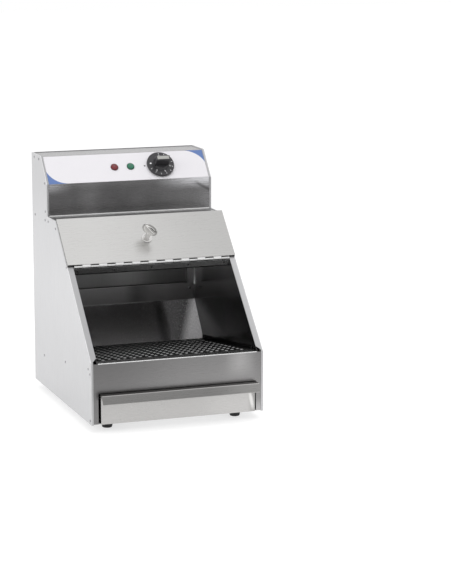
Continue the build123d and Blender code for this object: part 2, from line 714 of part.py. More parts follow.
with BuildPart() as element_clips:
    add(
        clips(
            (-ELEMENT_SPAN, ELEMENT_SPAN),
            ELEMENT_R,
            ELEMENT_GAP,
            WINDOW_MIDDLE,
        ).part
    )
    add(clips((BULB_X,), BULB_R, ELEMENT_GAP, BULB_LOW + BULB_LEN / 2).part)
write(element_clips, "element_clips")

# ------------------------------------------------------------------ chip tray
TRAY_HALF = WALL_X - TRAY_SIDE
HOLE_COLS = int((2 * TRAY_HALF - 2 * HOLE_BORDER) // HOLE_PITCH) + 1
HOLE_ROWS = int((TRAY_LEN - 2 * HOLE_BORDER) // HOLE_PITCH) + 1
with BuildPart() as chip_tray:
    # front lip, lying on the apron's folded edge
    with BuildSketch(yz(-TRAY_HALF)):
        with BuildLine():
            Polyline(
                at(-TRAY_NOSE, RETURN_TOP + LOOSE),
                at(-TRAY_NOSE, RETURN_TOP + SHEET),
                on_tray(0, 0),
                on_tray(0, -SHEET),
                at(TRAY_FRONT_DEPTH - SHEET, RETURN_TOP + LOOSE),
                close=True,
            )
        make_face()
    extrude(amount=2 * TRAY_HALF)
    with BuildSketch(TRAY):
        for side in (-1, 1):
            with Locations((side * (TRAY_HALF - SHEET / 2), (TRAY_LEN + TRAY_EDGE_START) / 2)):
                Rectangle(SHEET, TRAY_LEN - TRAY_EDGE_START)
    extrude(amount=TRAY_EDGE_H)
    with BuildSketch(TRAY.offset(-SHEET)):
        with Locations((0, TRAY_LEN / 2)):
            Rectangle(2 * TRAY_HALF, TRAY_LEN)
            with GridLocations(HOLE_PITCH, HOLE_PITCH, HOLE_COLS, HOLE_ROWS):
                Rectangle(HOLE_SIDE, HOLE_SIDE, mode=Mode.SUBTRACT)
            with GridLocations(HOLE_PITCH, HOLE_PITCH, HOLE_COLS - 1, HOLE_ROWS - 1):
                Rectangle(HOLE_SIDE, HOLE_SIDE, mode=Mode.SUBTRACT)
    extrude(amount=SHEET)
write(chip_tray, "chip_tray")

# ------------------------------------------------------------------ crumb drawer
PAN_FRONT = 2 * SHEET
with BuildPart() as crumb_drawer:
    with BuildSketch(level(DRAWER_FLOOR)):
        with Locations((DRAWER_SHIFT, PAN_FRONT + DRAWER_DEPTH / 2)):
            Rectangle(2 * DRAWER_HALF, DRAWER_DEPTH)
    extrude(amount=DRAWER_WALL_H)
    with BuildSketch(level(DRAWER_FLOOR + SHEET)):
        with Locations((DRAWER_SHIFT, PAN_FRONT + DRAWER_DEPTH / 2)):
            Rectangle(2 * (DRAWER_HALF - SHEET), DRAWER_DEPTH - 2 * SHEET)
    extrude(amount=DRAWER_WALL_H, mode=Mode.SUBTRACT)
write(crumb_drawer, "crumb_drawer")

with BuildPart() as drawer_front:
    with BuildSketch(yz(DRAWER_SHIFT - DRAWER_FRONT_HALF)):
        add(region((SHEET, 0), (2 * SHEET, LIP_TOP)))
    extrude(amount=2 * DRAWER_FRONT_HALF)
    with BuildSketch(yz(DRAWER_SHIFT / 2 - LIP_HALF)):
        with BuildLine():
            Polyline(
                at(2 * SHEET, LIP_TOP),
                at(2 * SHEET, LIP_TOP - SHEET),
                at(-LIP_DEPTH + SHEET, LIP_TOP - SHEET),
                at(-LIP_REACH + SHEET, LIP_TOP - LIP_DROP),
                at(-LIP_REACH, LIP_TOP - LIP_DROP),
                at(-LIP_DEPTH, LIP_TOP),
                close=True,
            )
        make_face()
    extrude(amount=2 * LIP_HALF)
write(drawer_front, "drawer_front")

RUNNER_FRONT = SHEET + SIDE_TAB + LOOSE
RUNNER_END = DRAWER_BACK + RUNNER_TAIL
LEDGE_TOP = DRAWER_FLOOR - LOOSE
with BuildPart() as right_drawer_runner:
    with BuildSketch(upright(RUNNER_FRONT)):
        # foot on the base plate, upright beside the drawer and ledge under it
        with Locations((RUNNER_WEB, 2 * SHEET)):
            Rectangle(SKIN_X - FIT - RUNNER_WEB, SHEET, align=(Align.MIN, Align.MIN))
            Rectangle(SHEET, RUNNER_H, align=(Align.MIN, Align.MIN))
        with Locations((RUNNER_WEB, LEDGE_TOP)):
            Rectangle(RUNNER_LEDGE, SHEET, align=(Align.MAX, Align.MAX))
    extrude(amount=RUNNER_FRONT - RUNNER_END)
write(right_drawer_runner, "right_drawer_runner")
write(mirrored(right_drawer_runner), "left_drawer_runner")

# ------------------------------------------------------------------ loading flap
FLAP_HALF = HALF - FLAP_GAP
with BuildPart() as loading_flap:
    with BuildSketch(SLOPE.offset(FLAP_PROUD - SHEET)):
        with Locations((0, (FLAP_START + FLAP_END) / 2)):
            Rectangle(2 * FLAP_HALF, FLAP_END - FLAP_START)
        with Locations((0, LOCK_S)):
            RegularPolygon(LOCK_BODY_R + FIT, LOCK_SIDES, mode=Mode.SUBTRACT)
    extrude(amount=SHEET)
    with BuildSketch(SLOPE.offset(FLAP_RIDE)):
        for side in (-1, 1):
            with Locations((side * (FLAP_HALF - SHEET / 2), (FLAP_START + FLAP_END) / 2)):
                Rectangle(SHEET, FLAP_END - FLAP_START)
        with Locations((0, FLAP_END - SHEET / 2)):
            Rectangle(2 * FLAP_HALF, SHEET)
    extrude(amount=FLAP_PROUD - SHEET - FLAP_RIDE)
write(loading_flap, "loading_flap")

# ------------------------------------------------------------------ piano hinge
KNUCKLE_PITCH = 2 * HINGE_HALF / KNUCKLES
KNUCKLE_LEN = KNUCKLE_PITCH - KNUCKLE_GAP
NOTCH = KNUCKLE_R + LEAF_CLEAR  # the leaves keep this far from the pin beside the other leaf's knuckles


def knuckle_x(index):
    """Middle of a knuckle, counted from the left end."""
    return -HINGE_HALF + (index + 0.5) * KNUCKLE_PITCH


PIN_CENTRE = beside(SLOPE, PIN_S, PIN_N)


def hinge_leaf(indices, leaf_plane, full, tabs):
    """One leaf of the piano hinge: a strip with rolled knuckles at the given places.

    full and tabs are the strip's and its tabs' limits, measured in the leaf's own plane.
    """
    with BuildPart() as leaf:
        for index in indices:
            with BuildSketch(yz(knuckle_x(index) - KNUCKLE_LEN / 2)):
                with Locations(PIN_CENTRE):
                    RegularPolygon(KNUCKLE_R, KNUCKLE_SIDES)
            extrude(amount=KNUCKLE_LEN)
        with BuildSketch(leaf_plane):
            with Locations((0, (full[0] + full[1]) / 2)):
                Rectangle(2 * HINGE_HALF, full[1] - full[0])
            with Locations(*[(knuckle_x(index), (tabs[0] + tabs[1]) / 2) for index in indices]):
                Rectangle(KNUCKLE_LEN, tabs[1] - tabs[0])
        extrude(amount=LEAF)
        with BuildSketch(yz(-HINGE_HALF)):
            with Locations(PIN_CENTRE):
                RegularPolygon(PIN_R + PIN_CLEAR, HEAD_SIDES, major_radius=False)
        extrude(amount=2 * HINGE_HALF, mode=Mode.SUBTRACT)
    return leaf


# the fixed leaf stands square to the slope, on the rail's face
FIXED_PLANE = Plane(
    origin=SLOPE.from_local_coords((0, PIN_S - KNUCKLE_R, PIN_N)), x_dir=(1, 0, 0), z_dir=SLOPE.y_dir
)
hinge_leaf_fixed = hinge_leaf(
    range(0, KNUCKLES, 2), FIXED_PLANE, (NOTCH, FIXED_LEAF_DROP + PIN_N), (0, NOTCH)
)
write(hinge_leaf_fixed, "hinge_leaf_fixed")

hinge_leaf_moving = hinge_leaf(
    range(1, KNUCKLES, 2),
    SLOPE.offset(PIN_N + KNUCKLE_R - LEAF),
    (PIN_S + NOTCH, FLAP_START + LEAF_UNDER),
    (PIN_S, PIN_S + NOTCH),
)
write(hinge_leaf_moving, "hinge_leaf_moving")

with BuildPart() as hinge_pin:
    with BuildSketch(yz(-HINGE_HALF)):
        with Locations(PIN_CENTRE):
            Circle(PIN_R)
    extrude(amount=2 * HINGE_HALF)
write(hinge_pin, "hinge_pin")

leaf_face = Plane(
    origin=SLOPE.from_local_coords((0, PIN_S - KNUCKLE_R, -FIXED_LEAF_DROP / 2)),
    x_dir=(1, 0, 0),
    z_dir=SLOPE.y_dir * -1,
)
LEAF_RIVET_PITCH = 2 * (HINGE_HALF - LEAF_RIVET_END) / (LEAF_RIVETS - 1)
LEAF_RIVET_SPOTS = [((i - (LEAF_RIVETS - 1) / 2) * LEAF_RIVET_PITCH, 0) for i in range(LEAF_RIVETS)]
hinge_rivets = heads(leaf_face, LEAF_RIVET_SPOTS, RIVET_HEAD_R, RIVET_HEAD_H)
write(hinge_rivets, "hinge_rivets")

# ------------------------------------------------------------------ cam lock
# the flap turns on a piano hinge, and the lock's cam catches behind the deck's turned-down lip
PLUG_END = LOCK_BODY_LEN + PLUG_TAIL
with BuildPart(LOCK) as lock_barrel:
    with BuildSketch(LOCK):
        RegularPolygon(LOCK_FACE_R, LOCK_FACE_SIDES)
    extrude(amount=LOCK_FACE_T)
    with BuildSketch(LOCK):
        RegularPolygon(LOCK_BODY_R, LOCK_SIDES)
    extrude(amount=-LOCK_BODY_LEN)
    with Locations((0, 0, LOCK_FACE_T)):
        Cylinder(PLUG_R + PLUG_CLEAR, LOCK_FACE_T + LOCK_BODY_LEN, align=DOWN, mode=Mode.SUBTRACT)
write(lock_barrel, "lock_barrel")

with BuildPart() as lock_nut:
    with BuildSketch(LOCK.offset(-SHEET - LOCK_NUT_T)):
        RegularPolygon(LOCK_NUT_R, 6)
        RegularPolygon(LOCK_BODY_R + FIT, LOCK_SIDES, mode=Mode.SUBTRACT)
    extrude(amount=LOCK_NUT_T)
write(lock_nut, "lock_nut")

with BuildPart(KEY) as lock_plug:
    with Locations((0, 0, LOCK_FACE_T - PLUG_SINK)):
        Cylinder(PLUG_R, LOCK_FACE_T - PLUG_SINK + PLUG_END, align=DOWN)
    with Locations((0, 0, -PLUG_END)):
        Box(STUB_W, STUB_W, CAM_T + LOOSE, align=DOWN)
    with Locations((0, 0, LOCK_FACE_T)):
        Box(
            KEY_BLADE_W + 2 * KEY_CLEAR,
            KEY_T + 2 * KEY_CLEAR,
            KEY_BLADE_LEN + LOCK_FACE_T,
            align=DOWN,
            mode=Mode.SUBTRACT,
        )
write(lock_plug, "lock_plug")

CAM_TURN = radians(CAM_REST_DEG)
CAM_DIR = LOCK.x_dir * cos(CAM_TURN) + LOCK.y_dir * sin(CAM_TURN)
CAM = Plane(origin=LOCK.origin + CAM_DIR * CAM_LEN / 2, x_dir=CAM_DIR, z_dir=LOCK.z_dir)
with BuildPart() as lock_cam:
    with BuildSketch(CAM.offset(-PLUG_END - CAM_T)):
        Rectangle(CAM_LEN + 2 * CAM_HALF, 2 * CAM_HALF)
        chamfer(vertices(), CAM_CORNER)
        with Locations((-CAM_LEN / 2, 0)):
            with Locations(Rotation(0, 0, KEY_TURN_DEG - CAM_REST_DEG)):
                Rectangle(STUB_W + 2 * PLUG_CLEAR, STUB_W + 2 * PLUG_CLEAR, mode=Mode.SUBTRACT)
    extrude(amount=CAM_T)
write(lock_cam, "lock_cam")

with BuildPart() as cam_screw:
    with BuildSketch(LOCK.offset(-PLUG_END - CAM_T - LOOSE)):
        RegularPolygon(CAM_BOLT_R, 6)
    extrude(amount=-CAM_BOLT_T)
write(cam_screw, "cam_screw")

# ------------------------------------------------------------------ key
BOW = Plane(origin=LOCK.origin + LOCK.z_dir * KEY_BOW_RISE, x_dir=KEY.x_dir, z_dir=KEY.y_dir * -1)
NECK_LEN = KEY_BOW_RISE - LOCK_FACE_T - LOOSE
with BuildPart() as key:
    with BuildSketch(BOW.offset(-KEY_T / 2)):
        Ellipse(KEY_BOW_W / 2, KEY_BOW_H / 2)
        # the neck stops above the lock's face, the blade goes on into the plug
        Rectangle(KEY_NECK_W, NECK_LEN, align=(Align.CENTER, Align.MAX))
        with Locations((0, -NECK_LEN)):
            Rectangle(KEY_BLADE_W, KEY_BLADE_LEN, align=(Align.CENTER, Align.MAX))
        with Locations((0, KEY_BOW_H / 2 - BOW_HOLE_R - BOW_RIM)):
            Circle(BOW_HOLE_R, mode=Mode.SUBTRACT)
    extrude(amount=KEY_T)
write(key, "key")

# ------------------------------------------------------------------ fascia film
FILM_H = FASCIA_LEN - SHEET

with BuildPart() as film_corners:
    for sign, x_edge, up_edge in ((1, -FILM_HALF, FILM_MARGIN), (-1, FILM_HALF, FILM_H - FILM_MARGIN)):
        # a corner patch with a hollow arc for its long side
        start = (x_edge + sign * CORNER_W, up_edge)
        middle = (x_edge + sign * CORNER_W * ARC_SAG, up_edge + sign * CORNER_H * ARC_SAG)
        end = (x_edge, up_edge + sign * CORNER_H)
        with BuildSketch(FASCIA):
            with BuildLine():
                Line((x_edge, up_edge), start)
                ThreePointArc(start, middle, end)
                Line(end, (x_edge, up_edge))
            make_face()
        extrude(amount=FILM_T)
write(film_corners, "film_corners")

with BuildPart() as fascia_film:
    with BuildSketch(FASCIA):
        with Locations((0, FILM_H / 2)):
            Rectangle(2 * FILM_HALF, FILM_H - 2 * FILM_MARGIN)
        with Locations((RED_X, CONTROL_UP), (GREEN_X, CONTROL_UP)):
            RegularPolygon(LAMP_BODY_R + FIT, HEAD_SIDES, mode=Mode.SUBTRACT)
        with Locations((KNOB_X, CONTROL_UP)):
            RegularPolygon(SPINDLE_HOLE_R, HEAD_SIDES, mode=Mode.SUBTRACT)
        with Locations((MARK_X, CONTROL_UP)):
            RegularPolygon(MARK_R, HEAD_SIDES, mode=Mode.SUBTRACT)
    extrude(amount=FILM_T)
    add(film_corners.part, mode=Mode.SUBTRACT)
write(fascia_film, "fascia_film")

with BuildPart() as index_mark:
    with BuildSketch(FASCIA):
        with Locations((MARK_X, CONTROL_UP)):
            RegularPolygon(MARK_R, HEAD_SIDES)
    extrude(amount=FILM_T)
write(index_mark, "index_mark")

# ------------------------------------------------------------------ pilot lamps
FILM_FACE = FASCIA.offset(FILM_T)
for x, name in ((RED_X, "red_pilot_lamp"), (GREEN_X, "green_pilot_lamp")):
    with BuildPart() as pilot_lamp:
        with BuildSketch(FILM_FACE):
            with Locations((x, CONTROL_UP)):
                RegularPolygon(LAMP_R, LAMP_SIDES)
        extrude(amount=LAMP_BEZEL_T)
        with BuildSketch(FILM_FACE.offset(LAMP_BEZEL_T)):
            with Locations((x, CONTROL_UP)):
                RegularPolygon(LENS_R, LAMP_SIDES)
        extrude(amount=LENS_T, taper=LENS_TAPER_DEG)
        with BuildSketch(FILM_FACE):
            with Locations((x, CONTROL_UP)):
                RegularPolygon(LAMP_BODY_R, HEAD_SIDES)
        extrude(amount=-LAMP_LEN)
    write(pilot_lamp, name)

with BuildPart() as lamp_nuts:
    with BuildSketch(FASCIA.offset(-SHEET - NUT_T)):
        for x in (RED_X, GREEN_X):
            with Locations((x, CONTROL_UP)):
                RegularPolygon(NUT_R, 6)
                RegularPolygon(LAMP_BODY_R + FIT, HEAD_SIDES, mode=Mode.SUBTRACT)
    extrude(amount=NUT_T)
write(lamp_nuts, "lamp_nuts")

# ------------------------------------------------------------------ thermostat
with BuildPart(FASCIA.offset(-SHEET)) as thermostat_body:
    with Locations((KNOB_X, CONTROL_UP, -NOSE_LEN)):
        Box(THERMOSTAT_W, THERMOSTAT_H, THERMOSTAT_DEEP, align=DOWN)
    with BuildSketch(FASCIA.offset(-SHEET)):
        with Locations((KNOB_X, CONTROL_UP)):
            RegularPolygon(NOSE_R, HEAD_SIDES)
    extrude(amount=-NOSE_LEN)
    with Locations((KNOB_X, CONTROL_UP)):
        Cylinder(SPINDLE_R + PLUG_CLEAR, SPINDLE_IN + LOOSE, align=DOWN, mode=Mode.SUBTRACT)
write(thermostat_body, "thermostat_body")

SPINDLE_TOP = KNOB_GAP + KNOB_SOCKET
with BuildPart(FILM_FACE) as thermostat_spindle:
    with Locations((KNOB_X, CONTROL_UP, SPINDLE_TOP)):
        Cylinder(SPINDLE_R, SPINDLE_TOP + FILM_T + SHEET + SPINDLE_IN, align=DOWN)
write(thermostat_spindle, "thermostat_spindle")

DIAL = Plane(
    origin=FILM_FACE.offset(KNOB_GAP).from_local_coords((KNOB_X, CONTROL_UP, 0)),
    x_dir=(1, 0, 0),
    z_dir=FASCIA.z_dir,
)
with BuildPart(DIAL) as thermostat_knob:
    with BuildSketch(DIAL):
        RegularPolygon(DIAL_R, DIAL_SIDES)
    extrude(amount=DIAL_T - DIAL_EDGE)
    with BuildSketch(DIAL.offset(DIAL_T - DIAL_EDGE)):
        RegularPolygon(DIAL_R, DIAL_SIDES)
    extrude(amount=DIAL_EDGE, taper=EDGE_TAPER_DEG)
    with BuildSketch(DIAL.offset(DIAL_T)):
        RegularPolygon(HUB_R, HUB_SIDES)
    extrude(amount=HUB_T, taper=HUB_TAPER_DEG)
    # the grip tapers from the dial to its top
    with BuildSketch(DIAL.offset(DIAL_T)):
        Rectangle(GRIP_LEN, GRIP_W + 2 * GRIP_FLARE)
    with BuildSketch(DIAL.offset(DIAL_T + GRIP_H)):
        Rectangle(GRIP_LEN, GRIP_W)
    loft()
    Cylinder(SPINDLE_R + PLUG_CLEAR, KNOB_SOCKET, align=UP, mode=Mode.SUBTRACT)
write(thermostat_knob, "thermostat_knob")

with BuildPart(DIAL.offset(DIAL_T + GRIP_H)) as knob_insert:
    Box(INSERT_LEN, INSERT_W, INSERT_T, align=UP)
write(knob_insert, "knob_insert")

# bulb behind the heater panel, and the capillary that runs up to the thermostat
THERMOSTAT_END = FASCIA.from_local_coords((KNOB_X, CONTROL_UP, -SHEET - NOSE_LEN - THERMOSTAT_DEEP))
CAPILLARY_BEND = THERMOSTAT_END - FASCIA.z_dir * 2 * CAPILLARY_TURN
BULB_Y = FRONT_Y + BULB_DEPTH
with BuildPart() as thermostat_bulb:
    with Locations((BULB_X, BULB_Y, UNDERSIDE_Z + BULB_LOW)):
        Cylinder(BULB_R, BULB_LEN, align=UP)
    with BuildLine() as capillary:
        FilletPolyline(
            (BULB_X, BULB_Y, UNDERSIDE_Z + BULB_LOW + BULB_LEN),
            (BULB_X, BULB_Y, CAPILLARY_BEND.Z - CAPILLARY_TURN),
            CAPILLARY_BEND,
            THERMOSTAT_END,
            radius=CAPILLARY_TURN,
        )
    with BuildSketch(Plane(origin=capillary.line @ 0, z_dir=capillary.line % 0)):
        RegularPolygon(CAPILLARY_R, 6)
    sweep(path=capillary.line)
write(thermostat_bulb, "thermostat_bulb")

# ------------------------------------------------------------------ terminal block
with BuildPart(level(DECK_TOP)) as terminal_block:
    with Locations((-TERMINAL_X, DEPTH - TERMINAL_BACK)):
        Box(TERMINAL_W, TERMINAL_D, TERMINAL_H, align=UP)
    with Locations((-TERMINAL_X, DEPTH - TERMINAL_BACK, TERMINAL_H)):
        with GridLocations(TERMINAL_PITCH, 1, 3, 1):
            Box(TERMINAL_HOLE_W, TERMINAL_HOLE_W, TERMINAL_HOLE_DEEP, align=DOWN, mode=Mode.SUBTRACT)
write(terminal_block, "terminal_block")

# ------------------------------------------------------------------ cable gland
with BuildPart() as cable_gland:
    with BuildSketch(BACK):
        with Locations((-GLAND_X, GLAND_H)):
            RegularPolygon(GLAND_R, 6)
    extrude(amount=GLAND_FLANGE)
    with BuildSketch(BACK.offset(GLAND_FLANGE)):
        with Locations((-GLAND_X, GLAND_H)):
            RegularPolygon(GLAND_TIP_R, GLAND_TIP_SIDES)
    extrude(amount=GLAND_REACH - GLAND_FLANGE)
    with BuildSketch(BACK):
        with Locations((-GLAND_X, GLAND_H)):
            RegularPolygon(GLAND_NECK_R - FIT, HEAD_SIDES)
    extrude(amount=-GLAND_IN)
    with BuildSketch(BACK.offset(-GLAND_IN)):
        with Locations((-GLAND_X, GLAND_H)):
            Circle(GLAND_BORE_R)
    extrude(amount=GLAND_IN + GLAND_REACH, mode=Mode.SUBTRACT)
write(cable_gland, "cable_gland")

with BuildPart() as gland_nut:
    with BuildSketch(BACK.offset(-SHEET)):
        with Locations((-GLAND_X, GLAND_H)):
            RegularPolygon(GLAND_NUT_R, 6)
            RegularPolygon(GLAND_NECK_R, HEAD_SIDES, mode=Mode.SUBTRACT)
    extrude(amount=-GLAND_NUT_T)
write(gland_nut, "gland_nut")

# ------------------------------------------------------------------ feet
FOOT_NAMES = ("left_front_foot", "left_rear_foot", "right_front_foot", "right_rear_foot")
for spot, name in zip(FOOT_SPOTS, FOOT_NAMES):
    with BuildPart() as foot:
        with BuildSketch(Plane.XY.offset(UNDERSIDE_Z + SHEET)):
            with Locations(spot):
                RegularPolygon(FOOT_R, FOOT_SIDES)
        extrude(amount=-UNDERSIDE_Z - SHEET)
    write(foot, name)

with BuildPart() as foot_nuts:
    with BuildSketch(Plane.XY.offset(UNDERSIDE_Z + 2 * SHEET)):
        with Locations(*FOOT_SPOTS):
            RegularPolygon(SCREW_HEAD_R, 6)
    extrude(amount=FOOT_NUT_T)
write(foot_nuts, "foot_nuts")
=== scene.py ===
"""Visual model of a counter-top chip warmer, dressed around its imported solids.

The cabinet, well, drawer, flap, controls and fasteners are sub-assemblies. Each is a class that
holds its sizes in metres, builds its own meshes and gives every piece its finish.
"""
import json
import logging
import math
from dataclasses import dataclass
from enum import Enum
from typing import Any, Callable, Iterable, Optional, Sequence, Union

import bmesh
import bpy
from mathutils import Matrix, Vector

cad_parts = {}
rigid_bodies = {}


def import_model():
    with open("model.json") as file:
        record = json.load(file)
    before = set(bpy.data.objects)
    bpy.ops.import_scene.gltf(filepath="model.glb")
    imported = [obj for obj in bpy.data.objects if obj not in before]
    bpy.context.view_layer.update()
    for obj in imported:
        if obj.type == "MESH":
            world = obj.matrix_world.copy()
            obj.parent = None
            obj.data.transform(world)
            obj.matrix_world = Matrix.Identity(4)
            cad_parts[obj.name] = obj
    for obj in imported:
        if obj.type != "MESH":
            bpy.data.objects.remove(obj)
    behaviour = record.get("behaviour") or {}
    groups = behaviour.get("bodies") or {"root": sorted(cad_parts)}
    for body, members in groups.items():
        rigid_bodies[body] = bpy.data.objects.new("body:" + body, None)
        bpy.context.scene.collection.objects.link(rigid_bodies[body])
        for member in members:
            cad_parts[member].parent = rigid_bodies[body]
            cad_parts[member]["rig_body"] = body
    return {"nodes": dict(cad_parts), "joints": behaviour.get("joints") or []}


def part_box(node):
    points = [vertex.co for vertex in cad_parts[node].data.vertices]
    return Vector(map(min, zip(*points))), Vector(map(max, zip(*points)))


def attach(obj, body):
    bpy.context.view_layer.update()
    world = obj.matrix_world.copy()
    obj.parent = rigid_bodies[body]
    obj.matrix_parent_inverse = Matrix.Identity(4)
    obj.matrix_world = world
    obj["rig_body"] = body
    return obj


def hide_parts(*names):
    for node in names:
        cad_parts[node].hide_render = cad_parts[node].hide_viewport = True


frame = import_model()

logging.basicConfig(level=logging.INFO, format="%(message)s")
log = logging.getLogger("chip_warmer")

Color = tuple[float, float, float]
Point = tuple[float, float, float]
Flat = tuple[float, float]
Lamp = tuple[str, Point, float, float]
Beam = tuple[str, Point, Point, float, float]

WHITE: Color = (1.0, 1.0, 1.0)
BLACK: Color = (0.0, 0.0, 0.0)
WELD = 1e-6  # vertices nearer than this are one
SHARP = math.radians(30)  # an edge that turns more than this stays crisp
FLUSH = math.radians(0.5)  # faces that turn less than this are one
MIX_LOW, MIX_HIGH, MIX_RESULT = 6, 7, 2  # sockets of a Mix node that takes colours


def to_linear(level: float) -> float:
    """The linear value of a display level from 0 to 255."""
    share = level / 255.0
    return share / 12.92 if share <= 0.04045 else ((share + 0.055) / 1.055) ** 2.4


def shade(red: float, green: float, blue: float) -> Color:
    """A colour from three display levels."""
    return (to_linear(red), to_linear(green), to_linear(blue))


# ---------------------------------------------------------------- node graphs
class Signal:
    """One output of a material's node, which takes part in plain arithmetic."""

    def __init__(self, graph: "Graph", socket: Optional[bpy.types.NodeSocket]) -> None:
        """Wraps a socket of a graph.

        Args:
            graph: The graph that the socket belongs to.
            socket: The output socket.
        """
        self.graph = graph
        self.socket = socket

    def math(self, operation: str, other: Any = None, first: bool = True) -> "Signal":
        """A Math node on this value.

        Args:
            operation: The Math node's operation.
            other: Its other operand, if it has one.
            first: Whether this value is the first operand.

        Returns:
            The node's result.
        """
        operands = [self] if other is None else [self, other] if first else [other, self]
        return self.graph.node(
            "ShaderNodeMath", {"operation": operation}, dict(enumerate(operands))
        )

    def __add__(self, other: Union["Signal", float]) -> "Signal":
        """The sum."""
        return self.math("ADD", other)

    __radd__ = __add__

    def __sub__(self, other: Union["Signal", float]) -> "Signal":
        """The difference."""
        return self.math("SUBTRACT", other)

    def __rsub__(self, other: float) -> "Signal":
        """The difference, reflected."""
        return self.math("SUBTRACT", other, first=False)

    def __mul__(self, other: Union["Signal", float]) -> "Signal":
        """The product."""
        return self.math("MULTIPLY", other)

    __rmul__ = __mul__

    def __abs__(self) -> "Signal":
        """The size without its sign."""
        return self.math("ABSOLUTE")

    def clamped(self) -> "Signal":
        """The value kept between 0 and 1."""
        return self.math("MAXIMUM", 0.0).math("MINIMUM", 1.0)

    def rise(self, low: float, high: float) -> "Signal":
        """A smooth step from 0 to 1.

        Args:
            low: The value where it leaves 0.
            high: The value where it reaches 1.

        Returns:
            The step.
        """
        return self.graph.node(
            "ShaderNodeMapRange",
            {"interpolation_type": "SMOOTHSTEP"},
            {"Value": self, "From Min": low, "From Max": high},
        )

    def fall(self, low: float, high: float) -> "Signal":
        """A smooth step from 1 at low to 0 at high."""
        return 1.0 - self.rise(low, high)

    def bell(self, middle: float, reach: float) -> "Signal":
        """A soft bump of 1 at the middle that falls to 0 at the reach."""
        return abs(self - middle).fall(0.0, reach)


@dataclass(frozen=True)
class Spot:
    """A surface point in a piece's own coordinates, in metres."""

    vector: Signal
    x: Signal
    y: Signal
    z: Signal

    def along(self, way: Vector, start: Vector) -> Signal:
        """How far the point lies from a start in a direction."""
        return self.x * way.x + self.y * way.y + self.z * way.z - way.dot(start)


class Graph:
    """The node graph of a material or of the world."""

    def __init__(self, tree: bpy.types.NodeTree) -> None:
        """Empties the tree.

        Args:
            tree: The node tree to fill.
        """
        self.tree = tree
        tree.nodes.clear()

    def node(
        self,
        kind: str,
        settings: Optional[dict[str, Any]] = None,
        inputs: Optional[dict[Union[str, int], Any]] = None,
        output: Union[str, int] = 0,
    ) -> Signal:
        """Adds a node.

        Args:
            kind: The node's type.
            settings: Its properties, which are set first.
            inputs: Values or signals for its sockets.
            output: The socket that is returned.

        Returns:
            The chosen output.
        """
        made = self.tree.nodes.new(kind)
        for name, value in (settings or {}).items():
            setattr(made, name, value)
        for name, value in (inputs or {}).items():
            socket = made.inputs[name]
            if isinstance(value, Signal):
                self.tree.links.new(value.socket, socket)
            elif socket.type == "RGBA" and len(value) == 3:
                socket.default_value = (*value, 1.0)
            else:
                socket.default_value = value
        return Signal(self, made.outputs[output] if len(made.outputs) else None)

    def parts(self, vector: Signal) -> Spot:
        """A vector with its three parts."""
        split = self.node("ShaderNodeSeparateXYZ", inputs={0: vector}).socket.node.outputs
        return Spot(vector, *(Signal(self, split[name]) for name in "XYZ"))

    def spot(self) -> Spot:
        """The surface point in the piece's own coordinates."""
        return self.parts(self.node("ShaderNodeTexCoord", output="Object"))

    def stretched(self, vector: Signal, scale: Iterable[float]) -> Signal:
        """A vector with each part scaled by its own number.

        Args:
            vector: The vector.
            scale: The numbers for x, y and z.

        Returns:
            The scaled vector.
        """
        return self.node(
            "ShaderNodeVectorMath", {"operation": "MULTIPLY"}, {0: vector, 1: tuple(scale)}
        )

    def noise(self, vector: Signal, scale: Iterable[float], detail: float = 2.0) -> Signal:
        """Soft noise between -0.5 and 0.5.

        Args:
            vector: The point.
            scale: How often the noise repeats in a metre, along x, y and z.
            detail: How much fine noise it has.

        Returns:
            The noise.
        """
        inputs = {"Vector": self.stretched(vector, scale), "Scale": 1.0, "Detail": detail}
        return self.node("ShaderNodeTexNoise", None, inputs) - 0.5

    def mix(self, factor: Union[Signal, float], low: Any, high: Any) -> Signal:
        """A colour between two.

        Args:
            factor: The share of the high one.
            low: One colour.
            high: The other.

        Returns:
            The mixed colour.
        """
        inputs = {"Factor": factor, MIX_LOW: low, MIX_HIGH: high}
        return self.node("ShaderNodeMix", {"data_type": "RGBA"}, inputs, MIX_RESULT)

    def bump(self, height: Signal, strength: float, distance: float) -> Signal:
        """A normal from a height.

        Args:
            height: The height, as a share of the distance.
            strength: How much of the relief counts.
            distance: The relief's depth, in metres.

        Returns:
            The normal.
        """
        return self.node(
            "ShaderNodeBump", None, {"Height": height, "Strength": strength, "Distance": distance}
        )

    def camera_ray(self) -> Signal:
        """1 where the camera looks straight at the surface."""
        return self.node("ShaderNodeLightPath", output="Is Camera Ray")

    def mirror_ray(self) -> Signal:
        """1 where metal or glass mirrors or passes the surface."""
        path = self.node("ShaderNodeLightPath", output="Is Glossy Ray")
        return path + Signal(self, path.socket.node.outputs["Is Transmission Ray"])


# ---------------------------------------------------------------- finishes
class Grain(Enum):
    """The direction in which a sheet is brushed, as scales of x, y and z."""

    ACROSS = (0.02, 1.0, 1.0)
    DEEP = (1.0, 0.02, 1.0)
    UP = (1.0, 1.0, 0.02)
    NONE = (1.0, 1.0, 1.0)


class Finish:
    """A surface finish, which makes one material."""

    name: str

    def inputs(self, graph: Graph) -> dict[str, Any]:
        """The shader's inputs.

        Args:
            graph: The material's graph.

        Returns:
            Socket names and their values or signals.
        """
        raise NotImplementedError

    def material(self) -> bpy.types.Material:
        """The finish as a material, made once.

        Returns:
            The material.
        """
        title = f"{self.name}_finish"
        known = bpy.data.materials.get(title)
        if known:
            return known
        material = bpy.data.materials.new(title)
        material.use_nodes = True
        graph = Graph(material.node_tree)
        surface = graph.node("ShaderNodeBsdfPrincipled", None, self.inputs(graph))
        graph.node("ShaderNodeOutputMaterial", None, {"Surface": surface})
        return material


PaintedLight = Callable[[Spot], Signal]
HEADROOM = 0.8  # painted light may brighten a colour up to 1 / 0.8 times
EVEN_PAINTED_SHEEN = 0.8  # an even painted highlight: a pale matt skin over a whole piece
